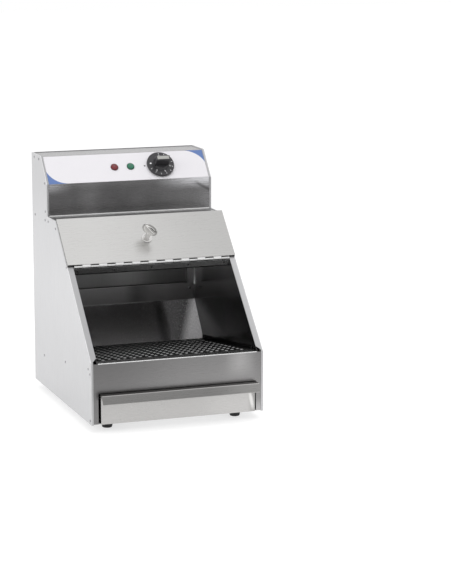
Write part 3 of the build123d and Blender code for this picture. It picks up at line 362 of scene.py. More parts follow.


@dataclass(frozen=True)
class BrushedSteel(Finish):
    """Brushed stainless sheet.

    painted_light scales the colour over the sheet as painted shade, highlights and reflections,
    and painted_sheen says how much of a pale matt skin is painted over the metal as highlights
    and reflections. fine, streak and cloud are how far each kind of noise moves the colour, and
    scales is how often each of them repeats in a metre. The shares are how far the noise moves
    the painted sheen and roughness. grazing is how white the sheet turns at a flat angle.
    """

    name: str
    color: Color
    grain: Grain = Grain.ACROSS
    roughness: float = 0.3
    fine: float = 0.14
    streak: float = 0.10
    cloud: float = 0.05
    relief: float = 0.06
    painted_light: Optional[PaintedLight] = None
    painted_sheen: Union[PaintedLight, float] = 0.0
    sheen_color: Color = (0.5, 0.5, 0.51)
    sheen_shares: Flat = (0.8, 0.5)
    rough_shares: Point = (0.14, 0.10, 0.06)
    scales: Point = (2600.0, 420.0, 9.0)
    streak_relief: float = 0.6
    brush_depth: float = 0.0002
    grazing: float = 1.0

    def inputs(self, graph: Graph) -> dict[str, Any]:
        """Builds the shader's inputs.

        Args:
            graph: The material's graph.

        Returns:
            Socket names and their values or signals.
        """
        spot = graph.spot()
        fine_scale, streak_scale, cloud_scale = self.scales
        fine = graph.noise(spot.vector, (fine_scale * g for g in self.grain.value), 1.0)
        streak = graph.noise(spot.vector, (streak_scale * g for g in self.grain.value))
        cloud = graph.noise(spot.vector, (cloud_scale,) * 3)
        level = 1.0 + fine * self.fine * 2 + streak * self.streak * 2 + cloud * self.cloud * 2
        # Painted light and shade scale the colour.
        if self.painted_light:
            level = level * self.painted_light(spot)
        full = tuple(c / HEADROOM for c in self.color)
        color = graph.mix((level * HEADROOM).clamped(), BLACK, full)
        of_fine, of_streak, of_cloud = self.rough_shares
        rough = self.roughness + fine * of_fine + streak * of_streak + cloud * of_cloud
        result = {
            "Metallic": 1.0,
            "Specular Tint": (self.grazing,) * 3,
            "Roughness": rough.clamped(),
            "Normal": graph.bump(
                fine + streak * self.streak_relief, self.relief, self.brush_depth
            ),
        }
        # The painted sheen: a pale matt skin mixed over the metal as painted highlights and
        # reflections.
        if self.painted_sheen:
            share = self.painted_sheen(spot) if callable(self.painted_sheen) else self.painted_sheen
            of_fine, of_streak = self.sheen_shares
            painted_sheen = ((1.0 + fine * of_fine + streak * of_streak) * share).clamped()
            color = graph.mix(painted_sheen, color, self.sheen_color)
            result["Metallic"] = 1.0 - painted_sheen
        result["Base Color"] = color
        return result


@dataclass(frozen=True)
class Plastic(Finish):
    """Moulded or printed plastic, or rubber.

    scales is how often the fine and the cloudy noise repeat in a metre. fine_share is how much
    fine noise the mottle has, and rough_shares is how far each kind moves the roughness.
    """

    name: str
    color: Color
    roughness: float = 0.45
    relief: float = 0.08
    mottle: float = 0.12
    coat: float = 0.0
    scales: Flat = (900.0, 40.0)
    fine_share: float = 0.4
    rough_shares: Flat = (0.12, 0.08)
    grain_depth: float = 0.0003

    def inputs(self, graph: Graph) -> dict[str, Any]:
        """Builds the shader's inputs.

        Args:
            graph: The material's graph.

        Returns:
            Socket names and their values or signals.
        """
        spot = graph.spot()
        fine, cloud = (graph.noise(spot.vector, (scale,) * 3) for scale in self.scales)
        noise = cloud + fine * self.fine_share
        level = noise * self.mottle + (1.0 - self.mottle / 2)
        of_fine, of_cloud = self.rough_shares
        rough = self.roughness + fine * of_fine + cloud * of_cloud
        return {
            "Base Color": graph.mix(level.clamped(), BLACK, self.color),
            "Roughness": rough.clamped(),
            "Coat Weight": self.coat,
            "Normal": graph.bump(fine, self.relief, self.grain_depth),
        }


# ---------------------------------------------------------------- places
@dataclass(frozen=True)
class Layout:
    """The cabinet's main lines, from which pieces take their places."""

    front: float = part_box("left_side_panel")[0].y
    underside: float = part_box("left_side_panel")[0].z
    half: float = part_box("right_side_panel")[1].x
    sheet: float = 0.001
    apron_h: float = 0.1115

    def point(self, x: float, depth: float, height: float) -> Vector:
        """A point from its depth behind the front and its height above the underside."""
        return Vector((x, self.front + depth, self.underside + height))


LAYOUT = Layout()
JOINTS = {joint["name"]: joint for joint in frame["joints"]}


def plane(origin: Sequence[float], across: Sequence[float], out: Sequence[float]) -> Matrix:
    """The matrix of a plane.

    Args:
        origin: Its origin.
        across: The direction of its x axis.
        out: The direction of its z axis.

    Returns:
        The matrix that takes plane coordinates to the object's.
    """
    z_axis = Vector(out).normalized()
    x_axis = (Vector(across) - Vector(across).dot(z_axis) * z_axis).normalized()
    y_axis = z_axis.cross(x_axis)
    turn = Matrix((x_axis, y_axis, z_axis)).transposed().to_4x4()
    return Matrix.Translation(Vector(origin)) @ turn


def joint_plane(name: str, flip: bool = False) -> Matrix:
    """A plane at a joint.

    Args:
        name: The joint.
        flip: Whether the plane faces against the joint's axis and not along it.

    Returns:
        The plane.
    """
    joint = JOINTS[name]
    sign = -1.0 if flip else 1.0
    return plane(joint["pos_m"], (1, 0, 0), [sign * a for a in joint["axis"]])


# ---------------------------------------------------------------- meshes
class Form:
    """A mesh under construction, in metres, that becomes one piece."""

    def __init__(self) -> None:
        """Starts an empty mesh."""
        self.mesh = bmesh.new()

    def ring(self, points: Iterable[Point], base: Matrix) -> list[bmesh.types.BMVert]:
        """Adds a vertex at each point of a plane's own coordinates."""
        return [self.mesh.verts.new(base @ Vector(point)) for point in points]

    def band(self, low: list[bmesh.types.BMVert], high: list[bmesh.types.BMVert]) -> None:
        """Joins two rings of vertices with a band of faces.

        Args:
            low: One ring.
            high: The other, with as many vertices.
        """
        for i, corner in enumerate(low):
            j = (i + 1) % len(low)
            self.mesh.faces.new((corner, low[j], high[j], high[i]))

    def capped(self, rings: Sequence[list[bmesh.types.BMVert]]) -> "Form":
        """Joins rings of vertices from the bottom to the top and closes both ends.

        Args:
            rings: The rings, each with as many vertices.

        Returns:
            The form.
        """
        self.mesh.faces.new(reversed(rings[0]))
        for low, high in zip(rings, rings[1:]):
            self.band(low, high)
        self.mesh.faces.new(rings[-1])
        return self

    def prism(self, outline: Sequence[Flat], base: Matrix, depth: float) -> "Form":
        """Adds a straight prism.

        Args:
            outline: Its outline in the base plane, counter-clockwise.
            base: The base plane.
            depth: How far it reaches out of the plane.

        Returns:
            The form.
        """
        levels = [[(x, y, z) for x, y in outline] for z in (0.0, depth)]
        return self.capped([self.ring(level, base) for level in levels])

    def lathe(self, profile: Sequence[Flat], base: Matrix, sides: int) -> "Form":
        """Adds a turned shape.

        Args:
            profile: Radius and height of each point, from the bottom to the top.
            base: The plane that it stands on.
            sides: How many sides it has.

        Returns:
            The form.
        """
        return self.capped(self.turned(profile, base, sides))

    def tube(self, profile: Sequence[Flat], base: Matrix, sides: int) -> "Form":
        """Adds a turned ring.

        Args:
            profile: Radius and height of each point of its closed section.
            base: The plane that it stands on.
            sides: How many sides it has.

        Returns:
            The form.
        """
        rings = self.turned(profile, base, sides)
        for low, high in zip(rings, rings[1:] + rings[:1]):
            self.band(low, high)
        return self

    def turned(
        self, profile: Sequence[Flat], base: Matrix, sides: int
    ) -> list[list[bmesh.types.BMVert]]:
        """Adds a ring of vertices for each point of a turned profile.

        Args:
            profile: Radius and height of each point.
            base: The plane that the shape stands on.
            sides: How many sides it has.

        Returns:
            The rings.
        """
        return [
            self.ring(((radius * c, radius * s, height) for c, s in circle(sides)), base)
            for radius, height in profile
        ]

    def block(
        self, low: Sequence[float], high: Sequence[float], base: Matrix = Matrix()
    ) -> "Form":
        """Adds a block between two corners."""
        outline = [(low[0], low[1]), (high[0], low[1]), (high[0], high[1]), (low[0], high[1])]
        return self.prism(outline, base @ Matrix.Translation((0, 0, low[2])), high[2] - low[2])

    def eased(self, width: float, segments: int = 2) -> "Form":
        """Rounds the sharp edges.

        Args:
            width: How far the rounding reaches from each edge.
            segments: Its number of steps.

        Returns:
            The form.
        """
        bmesh.ops.recalc_face_normals(self.mesh, faces=self.mesh.faces)
        sharp = [
            edge
            for edge in self.mesh.edges
            if len(edge.link_faces) == 2 and edge.calc_face_angle(0.0) > SHARP
        ]
        bmesh.ops.bevel(
            self.mesh, geom=sharp, offset=width, segments=segments, profile=0.5,
            affect="EDGES", clamp_overlap=True,
        )
        return self

    def piece(
        self, name: str, body: str, finish: Finish, slot: str, replaces: Sequence[str] = ()
    ) -> bpy.types.Object:
        """Turns the form into a piece that rides on a body.

        Args:
            name: The piece's name.
            body: The CAD body.
            finish: Its finish.
            slot: Not used.
            replaces: CAD nodes that it stands for.

        Returns:
            The piece.
        """
        bmesh.ops.remove_doubles(self.mesh, verts=self.mesh.verts, dist=WELD)
        bmesh.ops.recalc_face_normals(self.mesh, faces=self.mesh.faces)
        data = bpy.data.meshes.new(name)
        self.mesh.to_mesh(data)
        self.mesh.free()
        data.shade_smooth()
        data.set_sharp_from_angle(angle=SHARP)
        data.materials.append(finish.material())
        made = placed(name, data)
        weighted = made.modifiers.new("flat faces", "WEIGHTED_NORMAL")
        weighted.keep_sharp = True
        settle(made, body)
        if replaces:
            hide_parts(*replaces)
        return made


def placed(name: str, data: bpy.types.ID) -> bpy.types.Object:
    """A new object of the scene.

    Args:
        name: Its name.
        data: Its mesh, curve, lamp or camera.

    Returns:
        The object.
    """
    made = bpy.data.objects.new(name, data)
    bpy.context.scene.collection.objects.link(made)
    return made


def settle(made: bpy.types.Object, body: str) -> None:
    """Lets a piece ride on a body and reports it.

    Args:
        made: The piece.
        body: The CAD body.
    """
    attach(made, body)
    log.info("piece %s on %s", made.name, body)


def circle(sides: int, turn: float = 0.0) -> list[Flat]:
    """The corners of a regular polygon of radius 1.

    Args:
        sides: How many it has.
        turn: The angle of the first corner.

    Returns:
        The corners, counter-clockwise.
    """
    angles = [turn + math.tau * i / sides for i in range(sides)]
    return [(math.cos(angle), math.sin(angle)) for angle in angles]


def round_outline(radius: float, sides: int) -> list[Flat]:
    """A circle's outline."""
    return [(radius * c, radius * s) for c, s in circle(sides)]


def softened(node: str, width: float, finish: Finish, slot: str) -> bpy.types.Object:
    """A sheet with its folds and edges rounded, which stands for its CAD node.

    Args:
        node: The CAD node.
        width: How far the rounding reaches.
        finish: The sheet's finish.
        slot: The record's material slot.

    Returns:
        The piece.
    """
    form = Form()
    form.mesh.from_mesh(frame["nodes"][node].data)
    bmesh.ops.remove_doubles(form.mesh, verts=form.mesh.verts, dist=WELD)
    bmesh.ops.dissolve_limit(
        form.mesh, angle_limit=FLUSH, verts=form.mesh.verts, edges=form.mesh.edges
    )
    body = frame["nodes"][node]["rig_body"]
    return form.eased(width).piece(f"{node}_sheet", body, finish, slot, [node])


def dress(finish: Finish, *nodes: str) -> None:
    """Gives CAD nodes a finish.

    Args:
        finish: The finish.
        nodes: The CAD nodes.
    """
    for node in nodes:
        materials = frame["nodes"][node].data.materials
        materials.clear()
        materials.append(finish.material())


def solids(node: str) -> list[tuple[Vector, Vector]]:
    """The boxes of the separate solids of a CAD node.

    Args:
        node: The CAD node.

    Returns:
        The lowest and highest corner of each solid.
    """
    work = bmesh.new()
    work.from_mesh(frame["nodes"][node].data)
    bmesh.ops.remove_doubles(work, verts=work.verts, dist=WELD)
    left = set(work.verts)
    found = []
    while left:
        group = {left.pop()}
        rim = group
        while rim:
            rim = {edge.other_vert(vert) for vert in rim for edge in vert.link_edges} & left
            left -= rim
            group = group | rim
        axes = list(zip(*(vert.co for vert in group)))
        found.append((Vector([min(axis) for axis in axes]), Vector([max(axis) for axis in axes])))
    work.free()
    return found


# ---------------------------------------------------------------- studio
@dataclass
class Studio:
    """Camera, floor, world and lamps.

    A soft lamp has a name, a place, a size and a power. A beam has a name, a place, the point
    that it lights, a width in degrees and a power.
    """

    camera_place: Point = (-1.1613, -3.6515, 0.9562)
    camera_turn: Point = (math.pi / 2 - 0.1923, 0.0, -0.3472)
    lens: float = 129.0
    sensor: float = 36.0
    far: float = 50.0
    floor_reach: float = 12.0
    mirrored_floor: Flat = (-1.0, -0.25)
    floor_paint: float = 0.5
    floor_glow: float = 0.62
    surround: float = 0.88
    dark_front: float = 0.78
    front_starts: Flat = (-0.1, 0.8)
    front_ends: Flat = (0.05, 0.5)
    lamp_aim: Point = (0.0, 0.0, 0.25)
    soft_lamps: Sequence[Lamp] = (
        ("top_lamp", (0.2, -0.6, 2.6), 2.2, 26.0),
        ("left_lamp", (-2.4, -0.9, 1.4), 1.6, 14.0),
    )
    beams: Sequence[Beam] = (
        ("well_lamp", (-0.75, -1.70, 0.75), (0.145, 0.145, 0.19), 8.0, 60.0),
        ("well_low_lamp", (0.02, -0.75, 0.03), (0.148, 0.153, 0.285), 8.0, 9.0),
    )
    beam_radius: float = 0.05

    def build(self) -> None:
        """Sets the whole studio."""
        self.camera()
        self.floor()
        self.world()
        self.lamps()
        bpy.context.scene.view_settings.view_transform = "Standard"

    def camera(self) -> None:
        """The camera, with its sensor size on the tall side."""
        data = bpy.data.cameras.new("camera")
        data.lens = self.lens
        data.sensor_fit = "VERTICAL"
        data.sensor_height = self.sensor
        data.clip_end = self.far
        camera = placed("camera", data)
        camera.location = self.camera_place
        camera.rotation_euler = self.camera_turn
        bpy.context.scene.camera = camera

    def floor(self) -> None:
        """A pale floor that keeps the object's shadow."""
        mesh = bpy.data.meshes.new("floor")
        far = self.floor_reach
        corners = [(-far, -far, 0), (far, -far, 0), (far, far, 0), (-far, far, 0)]
        mesh.from_pydata(corners, [], [(0, 1, 2, 3)])
        material = bpy.data.materials.new("floor_paint")
        material.use_nodes = True
        graph = Graph(material.node_tree)
        near = graph.spot().y.rise(*self.mirrored_floor)
        glow_share = graph.camera_ray() + graph.mirror_ray() * near
        lit = graph.node("ShaderNodeBsdfDiffuse", None, {"Color": (self.floor_paint,) * 3})
        glow = graph.node(
            "ShaderNodeEmission", None, {"Color": WHITE, "Strength": glow_share * self.floor_glow}
        )
        both = graph.node("ShaderNodeAddShader", None, {0: lit, 1: glow})
        graph.node("ShaderNodeOutputMaterial", None, {"Surface": both})
        mesh.materials.append(material)
        placed("floor", mesh)

    def world(self) -> None:
        """A white surround for the camera, with a dark low front for metal to mirror."""
        world = bpy.data.worlds.new("studio")
        bpy.context.scene.world = world
        world.use_nodes = True
        graph = Graph(world.node_tree)
        way = graph.parts(graph.node("ShaderNodeTexCoord", output="Generated"))
        front = (-1.0 * way.y).rise(*self.front_starts) * way.z.fall(*self.front_ends)
        level = self.surround - self.dark_front * front
        seen = graph.camera_ray()
        strength = seen + (1.0 - seen) * level
        surround = graph.node("ShaderNodeBackground", None, {"Color": WHITE, "Strength": strength})
        graph.node("ShaderNodeOutputWorld", None, {"Surface": surround})

    def lamps(self) -> None:
        """Soft lamps above and beside the object, and narrow beams into the well."""
        for name, place, size, power in self.soft_lamps:
            data = bpy.data.lights.new(name, "AREA")
            data.size = size
            self.hang(data, place, self.lamp_aim, power)
        for name, place, aim, beam, power in self.beams:
            data = bpy.data.lights.new(name, "SPOT")
            data.spot_size = math.radians(beam)
            data.spot_blend = 1.0
            data.shadow_soft_size = self.beam_radius
            self.hang(data, place, aim, power)

    def hang(self, data: bpy.types.Light, place: Point, aim: Point, power: float) -> None:
        """Hangs a lamp that metal doesn't mirror.

        Args:
            data: Its light.
            place: Where it hangs.
            aim: The point that it faces.
            power: Its power in watts.
        """
        data.energy = power
        lamp = placed(data.name, data)
        lamp.location = place
        way = Vector(aim) - Vector(place)
        lamp.rotation_euler = way.to_track_quat("-Z", "Y").to_euler()
        lamp.visible_glossy = False


# ---------------------------------------------------------------- cabinet
def side_painted_shade(spot: Spot) -> Signal:
    """The side panels in painted shade, a little darker at the top, foot and left front flange.

    Args:
        spot: The surface point.

    Returns:
        How bright the sheet is there.
    """
    inset = spot.x + LAYOUT.half
    flange = inset.rise(0.0001, LAYOUT.sheet) * spot.x.fall(-0.10, 0.0)
    panel = 0.90 + spot.z.rise(0.08, 0.25) * 0.10 - spot.z.rise(0.30, 0.42) * 0.06
    return panel * (1.0 - flange * 0.16)


def side_edge_highlight(spot: Spot) -> Signal:
    """A painted highlight along the side panels' cut edges."""
    inset = LAYOUT.half - abs(spot.x)
    return inset.rise(0.00008, 0.00018) * inset.fall(0.0011, 0.0015) * 0.75


def hood_front(spot: Spot) -> Signal:
    """1 on the hood's upright front, and 0 on its fascia, top and sides."""
    behind = spot.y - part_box("control_hood")[0].y
    return spot.z.fall(0.4080, 0.4086) * behind.fall(0.00025, 0.00125)


def hood_reflection_streak(spot: Spot, offset: float, reach: float) -> Signal:
    """1 along a slanting streak at the right end of the hood's front: a painted dark reflection."""
    return (spot.x * 0.55 + spot.z).bell(offset, reach)


def hood_painted_light(spot: Spot) -> Signal:
    """Painted shade: patches of dark on the hood's upright front, and a pale top and sides.

    Args:
        spot: The surface point.

    Returns:
        How bright the sheet is there.
    """
    mottle = spot.vector.graph.noise(spot.vector, (26.0, 26.0, 40.0), 3.0) * 0.16
    # Painted reflections on the front: patches, a brighter right end, a dark streak, bright edges.
    patches = spot.x.bell(-0.08, 0.03) * 0.09 - spot.x.bell(-0.02, 0.04) * 0.05
    painted_streak = hood_reflection_streak(spot, 0.4705, 0.005) * spot.x.rise(0.10, 0.13) * 0.16
    right_end = spot.x.rise(0.03, 0.12) * 0.13
    edges = spot.z.rise(0.393, 0.408) * 0.10 + spot.z.fall(0.350, 0.362) * 0.05
    dark = 0.33 + patches + right_end + mottle - painted_streak + edges
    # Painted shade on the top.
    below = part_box("control_hood")[1].z - spot.z
    top = below.fall(0.0003, 0.0007)
    return (1.0 - hood_front(spot) * (1.0 - dark)) * (1.0 - top * 0.33)


def hood_painted_highlight(spot: Spot) -> Signal:
    """Painted highlights: pale corners at the upper ends of the hood's front.

    Args:
        spot: The surface point.

    Returns:
        How hazy the sheet is there.
    """
    high = spot.z.rise(0.384, 0.407)
    painted_streak = hood_reflection_streak(spot, 0.4712, 0.006) * spot.x.rise(0.125, 0.14)
    right = high * spot.x.rise(0.04, 0.14) * 0.85 + spot.x.rise(0.12, 0.16) * 0.12
    left = high * spot.x.fall(-0.158, -0.105) * 0.45
    return hood_front(spot) * (right * (1.0 - painted_streak * 0.7) + left)


def flap_painted_shade(spot: Spot) -> Signal:
    """Painted shade: the flap darkens a little to the right, and its turned-down ends are dark."""
    ends = (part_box("loading_flap")[1].x - abs(spot.x)).fall(0.0001, 0.00035)
    return (1.06 - spot.x.rise(-0.12, 0.17) * 0.20) * (1.0 - ends * 0.62)


def apron_painted_light(spot: Spot) -> Signal:
    """Painted light on the apron: darker to the left, a soft painted highlight near its right end.

    Args:
        spot: The surface point.

    Returns:
        How bright the sheet is there.
    """
    slope = spot.x.rise(-0.15, 0.05) * 0.15 + spot.x.rise(0.05, 0.12) * 0.05
    bright = spot.x.bell(0.118, 0.035) * spot.z.rise(0.075, 0.11) * 0.22
    # A painted highlight at the foot of the right edge; the far right end is a little darker.
    foot = spot.x.rise(0.1485, 0.1495) * spot.z.fall(0.018, 0.042) * 0.28
    return 0.335 + slope + bright + foot - spot.x.rise(0.135, 0.155) * 0.06


@dataclass
class Cabinet:
    """Side panels, hood, deck, apron and back."""

    edge: float = 0.0004
    hem_high: float = 0.0019
    hem_deep: float = 0.0014
    hem_inset: float = LAYOUT.sheet * 3

    def build(self) -> None:
        """Rounds and dresses the cabinet's sheets."""
        side = BrushedSteel(
            "side_steel", (0.66, 0.66, 0.67), Grain.UP, 0.4, streak=0.04, painted_light=side_painted_shade,
            painted_sheen=side_edge_highlight, sheen_color=(0.85, 0.85, 0.86),
        )
        for node in ("left_side_panel", "right_side_panel"):
            softened(node, self.edge, side, "brushed_steel")
        dress(side, "back_panel", "base_plate")
        apron = BrushedSteel("apron_steel", (0.62, 0.61, 0.61), streak=0.03, painted_light=apron_painted_light)
        softened("front_apron", self.edge, apron, "brushed_steel")
        hood = BrushedSteel(
            "hood_steel", (0.66, 0.65, 0.66), roughness=0.28, fine=0.16, streak=0.06,
            painted_light=hood_painted_light, painted_sheen=hood_painted_highlight, relief=0.03, sheen_color=(0.85, 0.85, 0.88),
        )
        softened("control_hood", self.edge, hood, "brushed_steel")
        dress(BrushedSteel("shelf_steel", (0.53, 0.53, 0.53)), "compartment_deck")
        self.hem()
        plated = BrushedSteel("zinc_plate", (0.55, 0.55, 0.55), Grain.NONE, 0.35)
        dress(
            plated, "right_tray_support", "left_tray_support", "left_drawer_runner",
            "right_drawer_runner", "element_clips", "lock_cam", "lamp_nuts", "thermostat_body",
            "foot_nuts", "lock_nut", "cam_screw",
        )

    def hem(self) -> None:
        """The rolled foot of the hood's front, where it meets the shelf."""
        # The hem's pale finish is a painted highlight along the hood's foot.
        finish = BrushedSteel(
            "hem_steel", (0.9, 0.9, 0.9), painted_sheen=EVEN_PAINTED_SHEEN, sheen_color=(0.9, 0.9, 0.9)
        )
        left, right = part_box("control_hood")
        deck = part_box("compartment_deck")[1].z
        low = (left.x + self.hem_inset, left.y - self.hem_deep, deck)
        high = (right.x - self.hem_inset, left.y, deck + self.hem_high)
        Form().block(low, high).eased(self.edge).piece(
            "hood_foot_hem", "cabinet", finish, "brushed_steel"
        )


# ---------------------------------------------------------------- well
def chute_painted_reflection(spot: Spot) -> Signal:
    """A painted reflection: a pale wedge at the chute's right end, wider towards its foot."""
    edge = spot.x - (spot.z - 0.091) * 0.5
    return spot.x.rise(0.080, 0.092) * 0.16 + edge.rise(0.097, 0.122) * 0.74


def chute_painted_bands(spot: Spot) -> Signal:
    """Painted reflections: bands of dark and grey across the chute."""
    return 1.17 - spot.x.rise(-0.01, 0.04) * 0.10 - spot.x.bell(0.073, 0.014) * 0.45


def cover_painted_light(spot: Spot) -> Signal:
    """Painted light on the heater cover: a dark band right of its middle and a bright lower edge.

    Args:
        spot: The surface point.

    Returns:
        How bright the sheet is there.
    """
    band = 0.80 + spot.x.rise(0.05, 0.13) * 0.85 - spot.x.bell(0.032, 0.030) * 0.34
    above = spot.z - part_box("heater_cover")[0].z
    return band + above.fall(0.0010, 0.0017) * 1.6 + above.bell(0.0330, 0.0008) * 0.5


def panel_painted_light(spot: Spot) -> Signal:
    """Painted light on the recessed heater panel, brightest a little right of its middle."""
    return 0.80 + spot.x.bell(0.020, 0.060) * 0.35


def wall_painted_shade(spot: Spot) -> Signal:
    """Painted shade on the inner walls: darker towards the front, the floor and the chute.

    Args:
        spot: The surface point.

    Returns:
        How bright the sheet is there.
    """
    height = 0.48 + spot.z.rise(0.17, 0.32) * 0.74
    near = spot.y.fall(-0.17, -0.06) * spot.z.fall(0.16, 0.24)
    rear = spot.y.rise(-0.12, 0.02) * spot.z.fall(0.18, 0.27)
    return height * (1.0 - near * 0.7) * (1.0 - rear * 0.85)


def lip_painted_highlight(spot: Spot) -> Signal:
    """A painted highlight: the tray's lip is pale along its front bead and dark behind it."""
    behind = spot.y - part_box("chip_tray")[0].y
    return behind.fall(0.00075, 0.00135) * 0.8


@dataclass
class Well:
    """The chip well, with its walls, chute, heater cover and perforated tray."""

    edge: float = 0.0003
    trim: float = 0.0022
    trim_foot: float = 0.030
    trim_top: float = 0.002
    pitch: float = 0.0146
    row: float = 0.01065
    hole: float = 0.0025
    rim: float = 0.0033
    rim_high: float = 0.0010
    rim_lean: float = 0.97  # cosine of the lean past which a face is part of a rim
    corners: int = 12
    border: float = 0.006
    floor_t: float = 0.001
    floor_start: float = 0.018
    floor_len: float = 0.2791
    fall: float = 0.12746  # the floor's slope, in radians
    side_high: float = 0.006
    side_start: float = 0.008  # from the floor's front edge
    side_edge: float = 0.00025
    lip_deep: float = 0.0185
    lip_nose: float = 0.0005
    lip_t: float = 0.0007
    lip_edge: float = 0.000125
    bead: float = 0.0008
    bead_sides: int = 14

    def build(self) -> None:
        """Dresses the well's sheets and lays the tray."""
        bright = BrushedSteel(
            "well_wall_steel", (0.60, 0.59, 0.60), Grain.NONE, 0.2, painted_light=wall_painted_shade
        )
        dress(bright, "right_inner_wall", "left_inner_wall")
        chute = BrushedSteel(
            "chute_steel", (0.60, 0.59, 0.60), Grain.UP, 0.24, painted_light=chute_painted_bands, painted_sheen=chute_painted_reflection,
            sheen_color=(0.80, 0.79, 0.80),
        )
        dress(chute, "rear_chute")
        cover = BrushedSteel(
            "cover_steel", (0.34, 0.335, 0.34), Grain.UP, 0.32, fine=0.03, streak=0.02,
            relief=0.005, painted_light=cover_painted_light,
        )
        softened("heater_cover", self.edge, cover, "bright_steel")
        panel = BrushedSteel("panel_steel", (0.26, 0.26, 0.26), Grain.UP, 0.35, painted_light=panel_painted_light)
        dress(panel, "heater_panel")
        sheath = BrushedSteel("sheath_steel", (0.25, 0.24, 0.23), Grain.NONE, 0.5)
        dress(sheath, "heating_element", "thermostat_bulb")
        self.corner_trim()
        self.tray()

    def corner_trim(self) -> None:
        """The folded upright edges of the cover, beside the inner walls."""
        # Their pale finish is a painted highlight along the cover's upright edges.
        finish = BrushedSteel(
            "trim_steel", (0.9, 0.9, 0.9), Grain.UP, 0.3, painted_sheen=EVEN_PAINTED_SHEEN,
            sheen_color=(0.85, 0.85, 0.85),
        )
        low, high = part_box("heater_cover")
        for name, x in (("left_cover_edge", low.x), ("right_cover_edge", high.x - self.trim)):
            foot = (x, low.y - self.trim, low.z + self.trim_foot)
            top = (x + self.trim, low.y, high.z - self.trim_top)
            Form().block(foot, top).eased(self.edge).piece(name, "cabinet", finish, "bright_steel")

    def tray(self) -> None:
        """The perforated tray, with raised rims round its holes."""
        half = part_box("chip_tray")[1].x
        start = LAYOUT.point(0, self.floor_start, LAYOUT.apron_h)
        up = Vector((0, math.sin(self.fall), math.cos(self.fall)))
        base = plane(start, (1, 0, 0), up)
        # The tray's steel is darker than the other sheets: painted shade on the well's floor.
        finish = BrushedSteel("tray_steel", (0.20, 0.20, 0.20), roughness=0.3, grazing=0.0)
        made = self.perforated(base, half).piece(
            "perforated_floor", "tray", finish, "tray_steel", ["chip_tray"]
        )
        # The rims' pale matt skin is a painted highlight, for the lit edges of the holes.
        rims = BrushedSteel(
            "rim_steel", (0.4, 0.4, 0.4), Grain.NONE, 0.35, painted_sheen=EVEN_PAINTED_SHEEN,
            sheen_color=(0.27, 0.27, 0.27),
        )
        made.data.materials.append(rims.material())
        for face in made.data.polygons:
            face.material_index = int(face.normal.dot(up) < self.rim_lean)
        thick = made.modifiers.new("sheet", "SOLIDIFY")
        thick.thickness = self.floor_t
        thick.offset = -1.0
        thick.material_offset = 0
        self.tray_edges(base, half, finish)

    def perforated(self, base: Matrix, half: float) -> Form:
        """The tray's floor, cut into tiles of which every second one has a hole.

        Args:
            base: The floor's plane, at the middle of its front edge.
            half: Half the floor's width.

        Returns:
            The floor.
        """
        form = Form()
        cols = int((2 * half - 2 * self.border) // self.pitch)
        rows = int((self.floor_len - 2 * self.border) // self.row)
        across = [-half] + [(i - cols / 2) * self.pitch for i in range(cols + 1)] + [half]
        margin = (self.floor_len - rows * self.row) / 2
        along = [0.0] + [margin + i * self.row for i in range(rows + 1)] + [self.floor_len]
        for i, (x0, x1) in enumerate(zip(across, across[1:])):
            for j, (y0, y1) in enumerate(zip(along, along[1:])):
                inner = 0 < i <= cols and 0 < j <= rows
                self.tile(form, base, (x0, y0), (x1, y1), inner and (i + j) % 2 == 0)
        return form

    def tile(self, form: Form, base: Matrix, low: Flat, high: Flat, holed: bool) -> None:
        """Adds a rectangle of floor.

        Args:
            form: The tray's form.
            base: The floor's plane.
            low: The rectangle's low corner.
            high: Its high corner.
            holed: Whether a hole with a raised rim goes through its middle.
        """
        middle = ((low[0] + high[0]) / 2, (low[1] + high[1]) / 2, 0.0)
        reach = ((high[0] - low[0]) / 2, (high[1] - low[1]) / 2)
        tile = base @ Matrix.Translation(middle)
        turns = circle(self.corners, math.pi / 4)
        sizes = [max(abs(c), abs(s)) for c, s in turns]
        square = [(reach[0] * c / k, reach[1] * s / k, 0.0) for (c, s), k in zip(turns, sizes)]
        outer = form.ring(square, tile)
        if not holed:
            form.mesh.faces.new(outer)
            return
        rim = form.ring([(self.rim * c, self.rim * s, 0.0) for c, s in turns], tile)
        hole = form.ring([(self.hole * c, self.hole * s, self.rim_high) for c, s in turns], tile)
        form.band(outer, rim)
        form.band(rim, hole)

    def tray_edges(self, base: Matrix, half: float, finish: Finish) -> None:
        """The tray's upturned sides and its front lip, which ends in a bead.

        Args:
            base: The floor's plane.
            half: Half the floor's width.
            finish: The finish of the sides.
        """
        sides = Form()
        for x in (-half, half - self.floor_t):
            low = (x, self.side_start, 0.0)
            high = (x + self.floor_t, self.floor_len, self.side_high)
            sides.block(low, high, base)
        sides.eased(self.side_edge).piece("tray_sides", "tray", finish, "tray_steel")
        bright = BrushedSteel(
            "lip_steel", (0.9, 0.9, 0.9), roughness=0.25, painted_sheen=lip_painted_highlight,
            sheen_color=(0.88, 0.88, 0.88),
        )
        low = LAYOUT.point(-half, -self.lip_nose, LAYOUT.apron_h - self.lip_t)
        high = LAYOUT.point(half, self.lip_deep - self.lip_nose, LAYOUT.apron_h)
        bead = plane((-half, low.y, high.z - self.bead), (0, 1, 0), (1, 0, 0))
        lip = Form().block(low, high)
        lip.prism(round_outline(self.bead, self.bead_sides), bead, 2 * half)
        lip.eased(self.lip_edge, 1).piece("tray_lip", "tray", bright, "tray_steel")


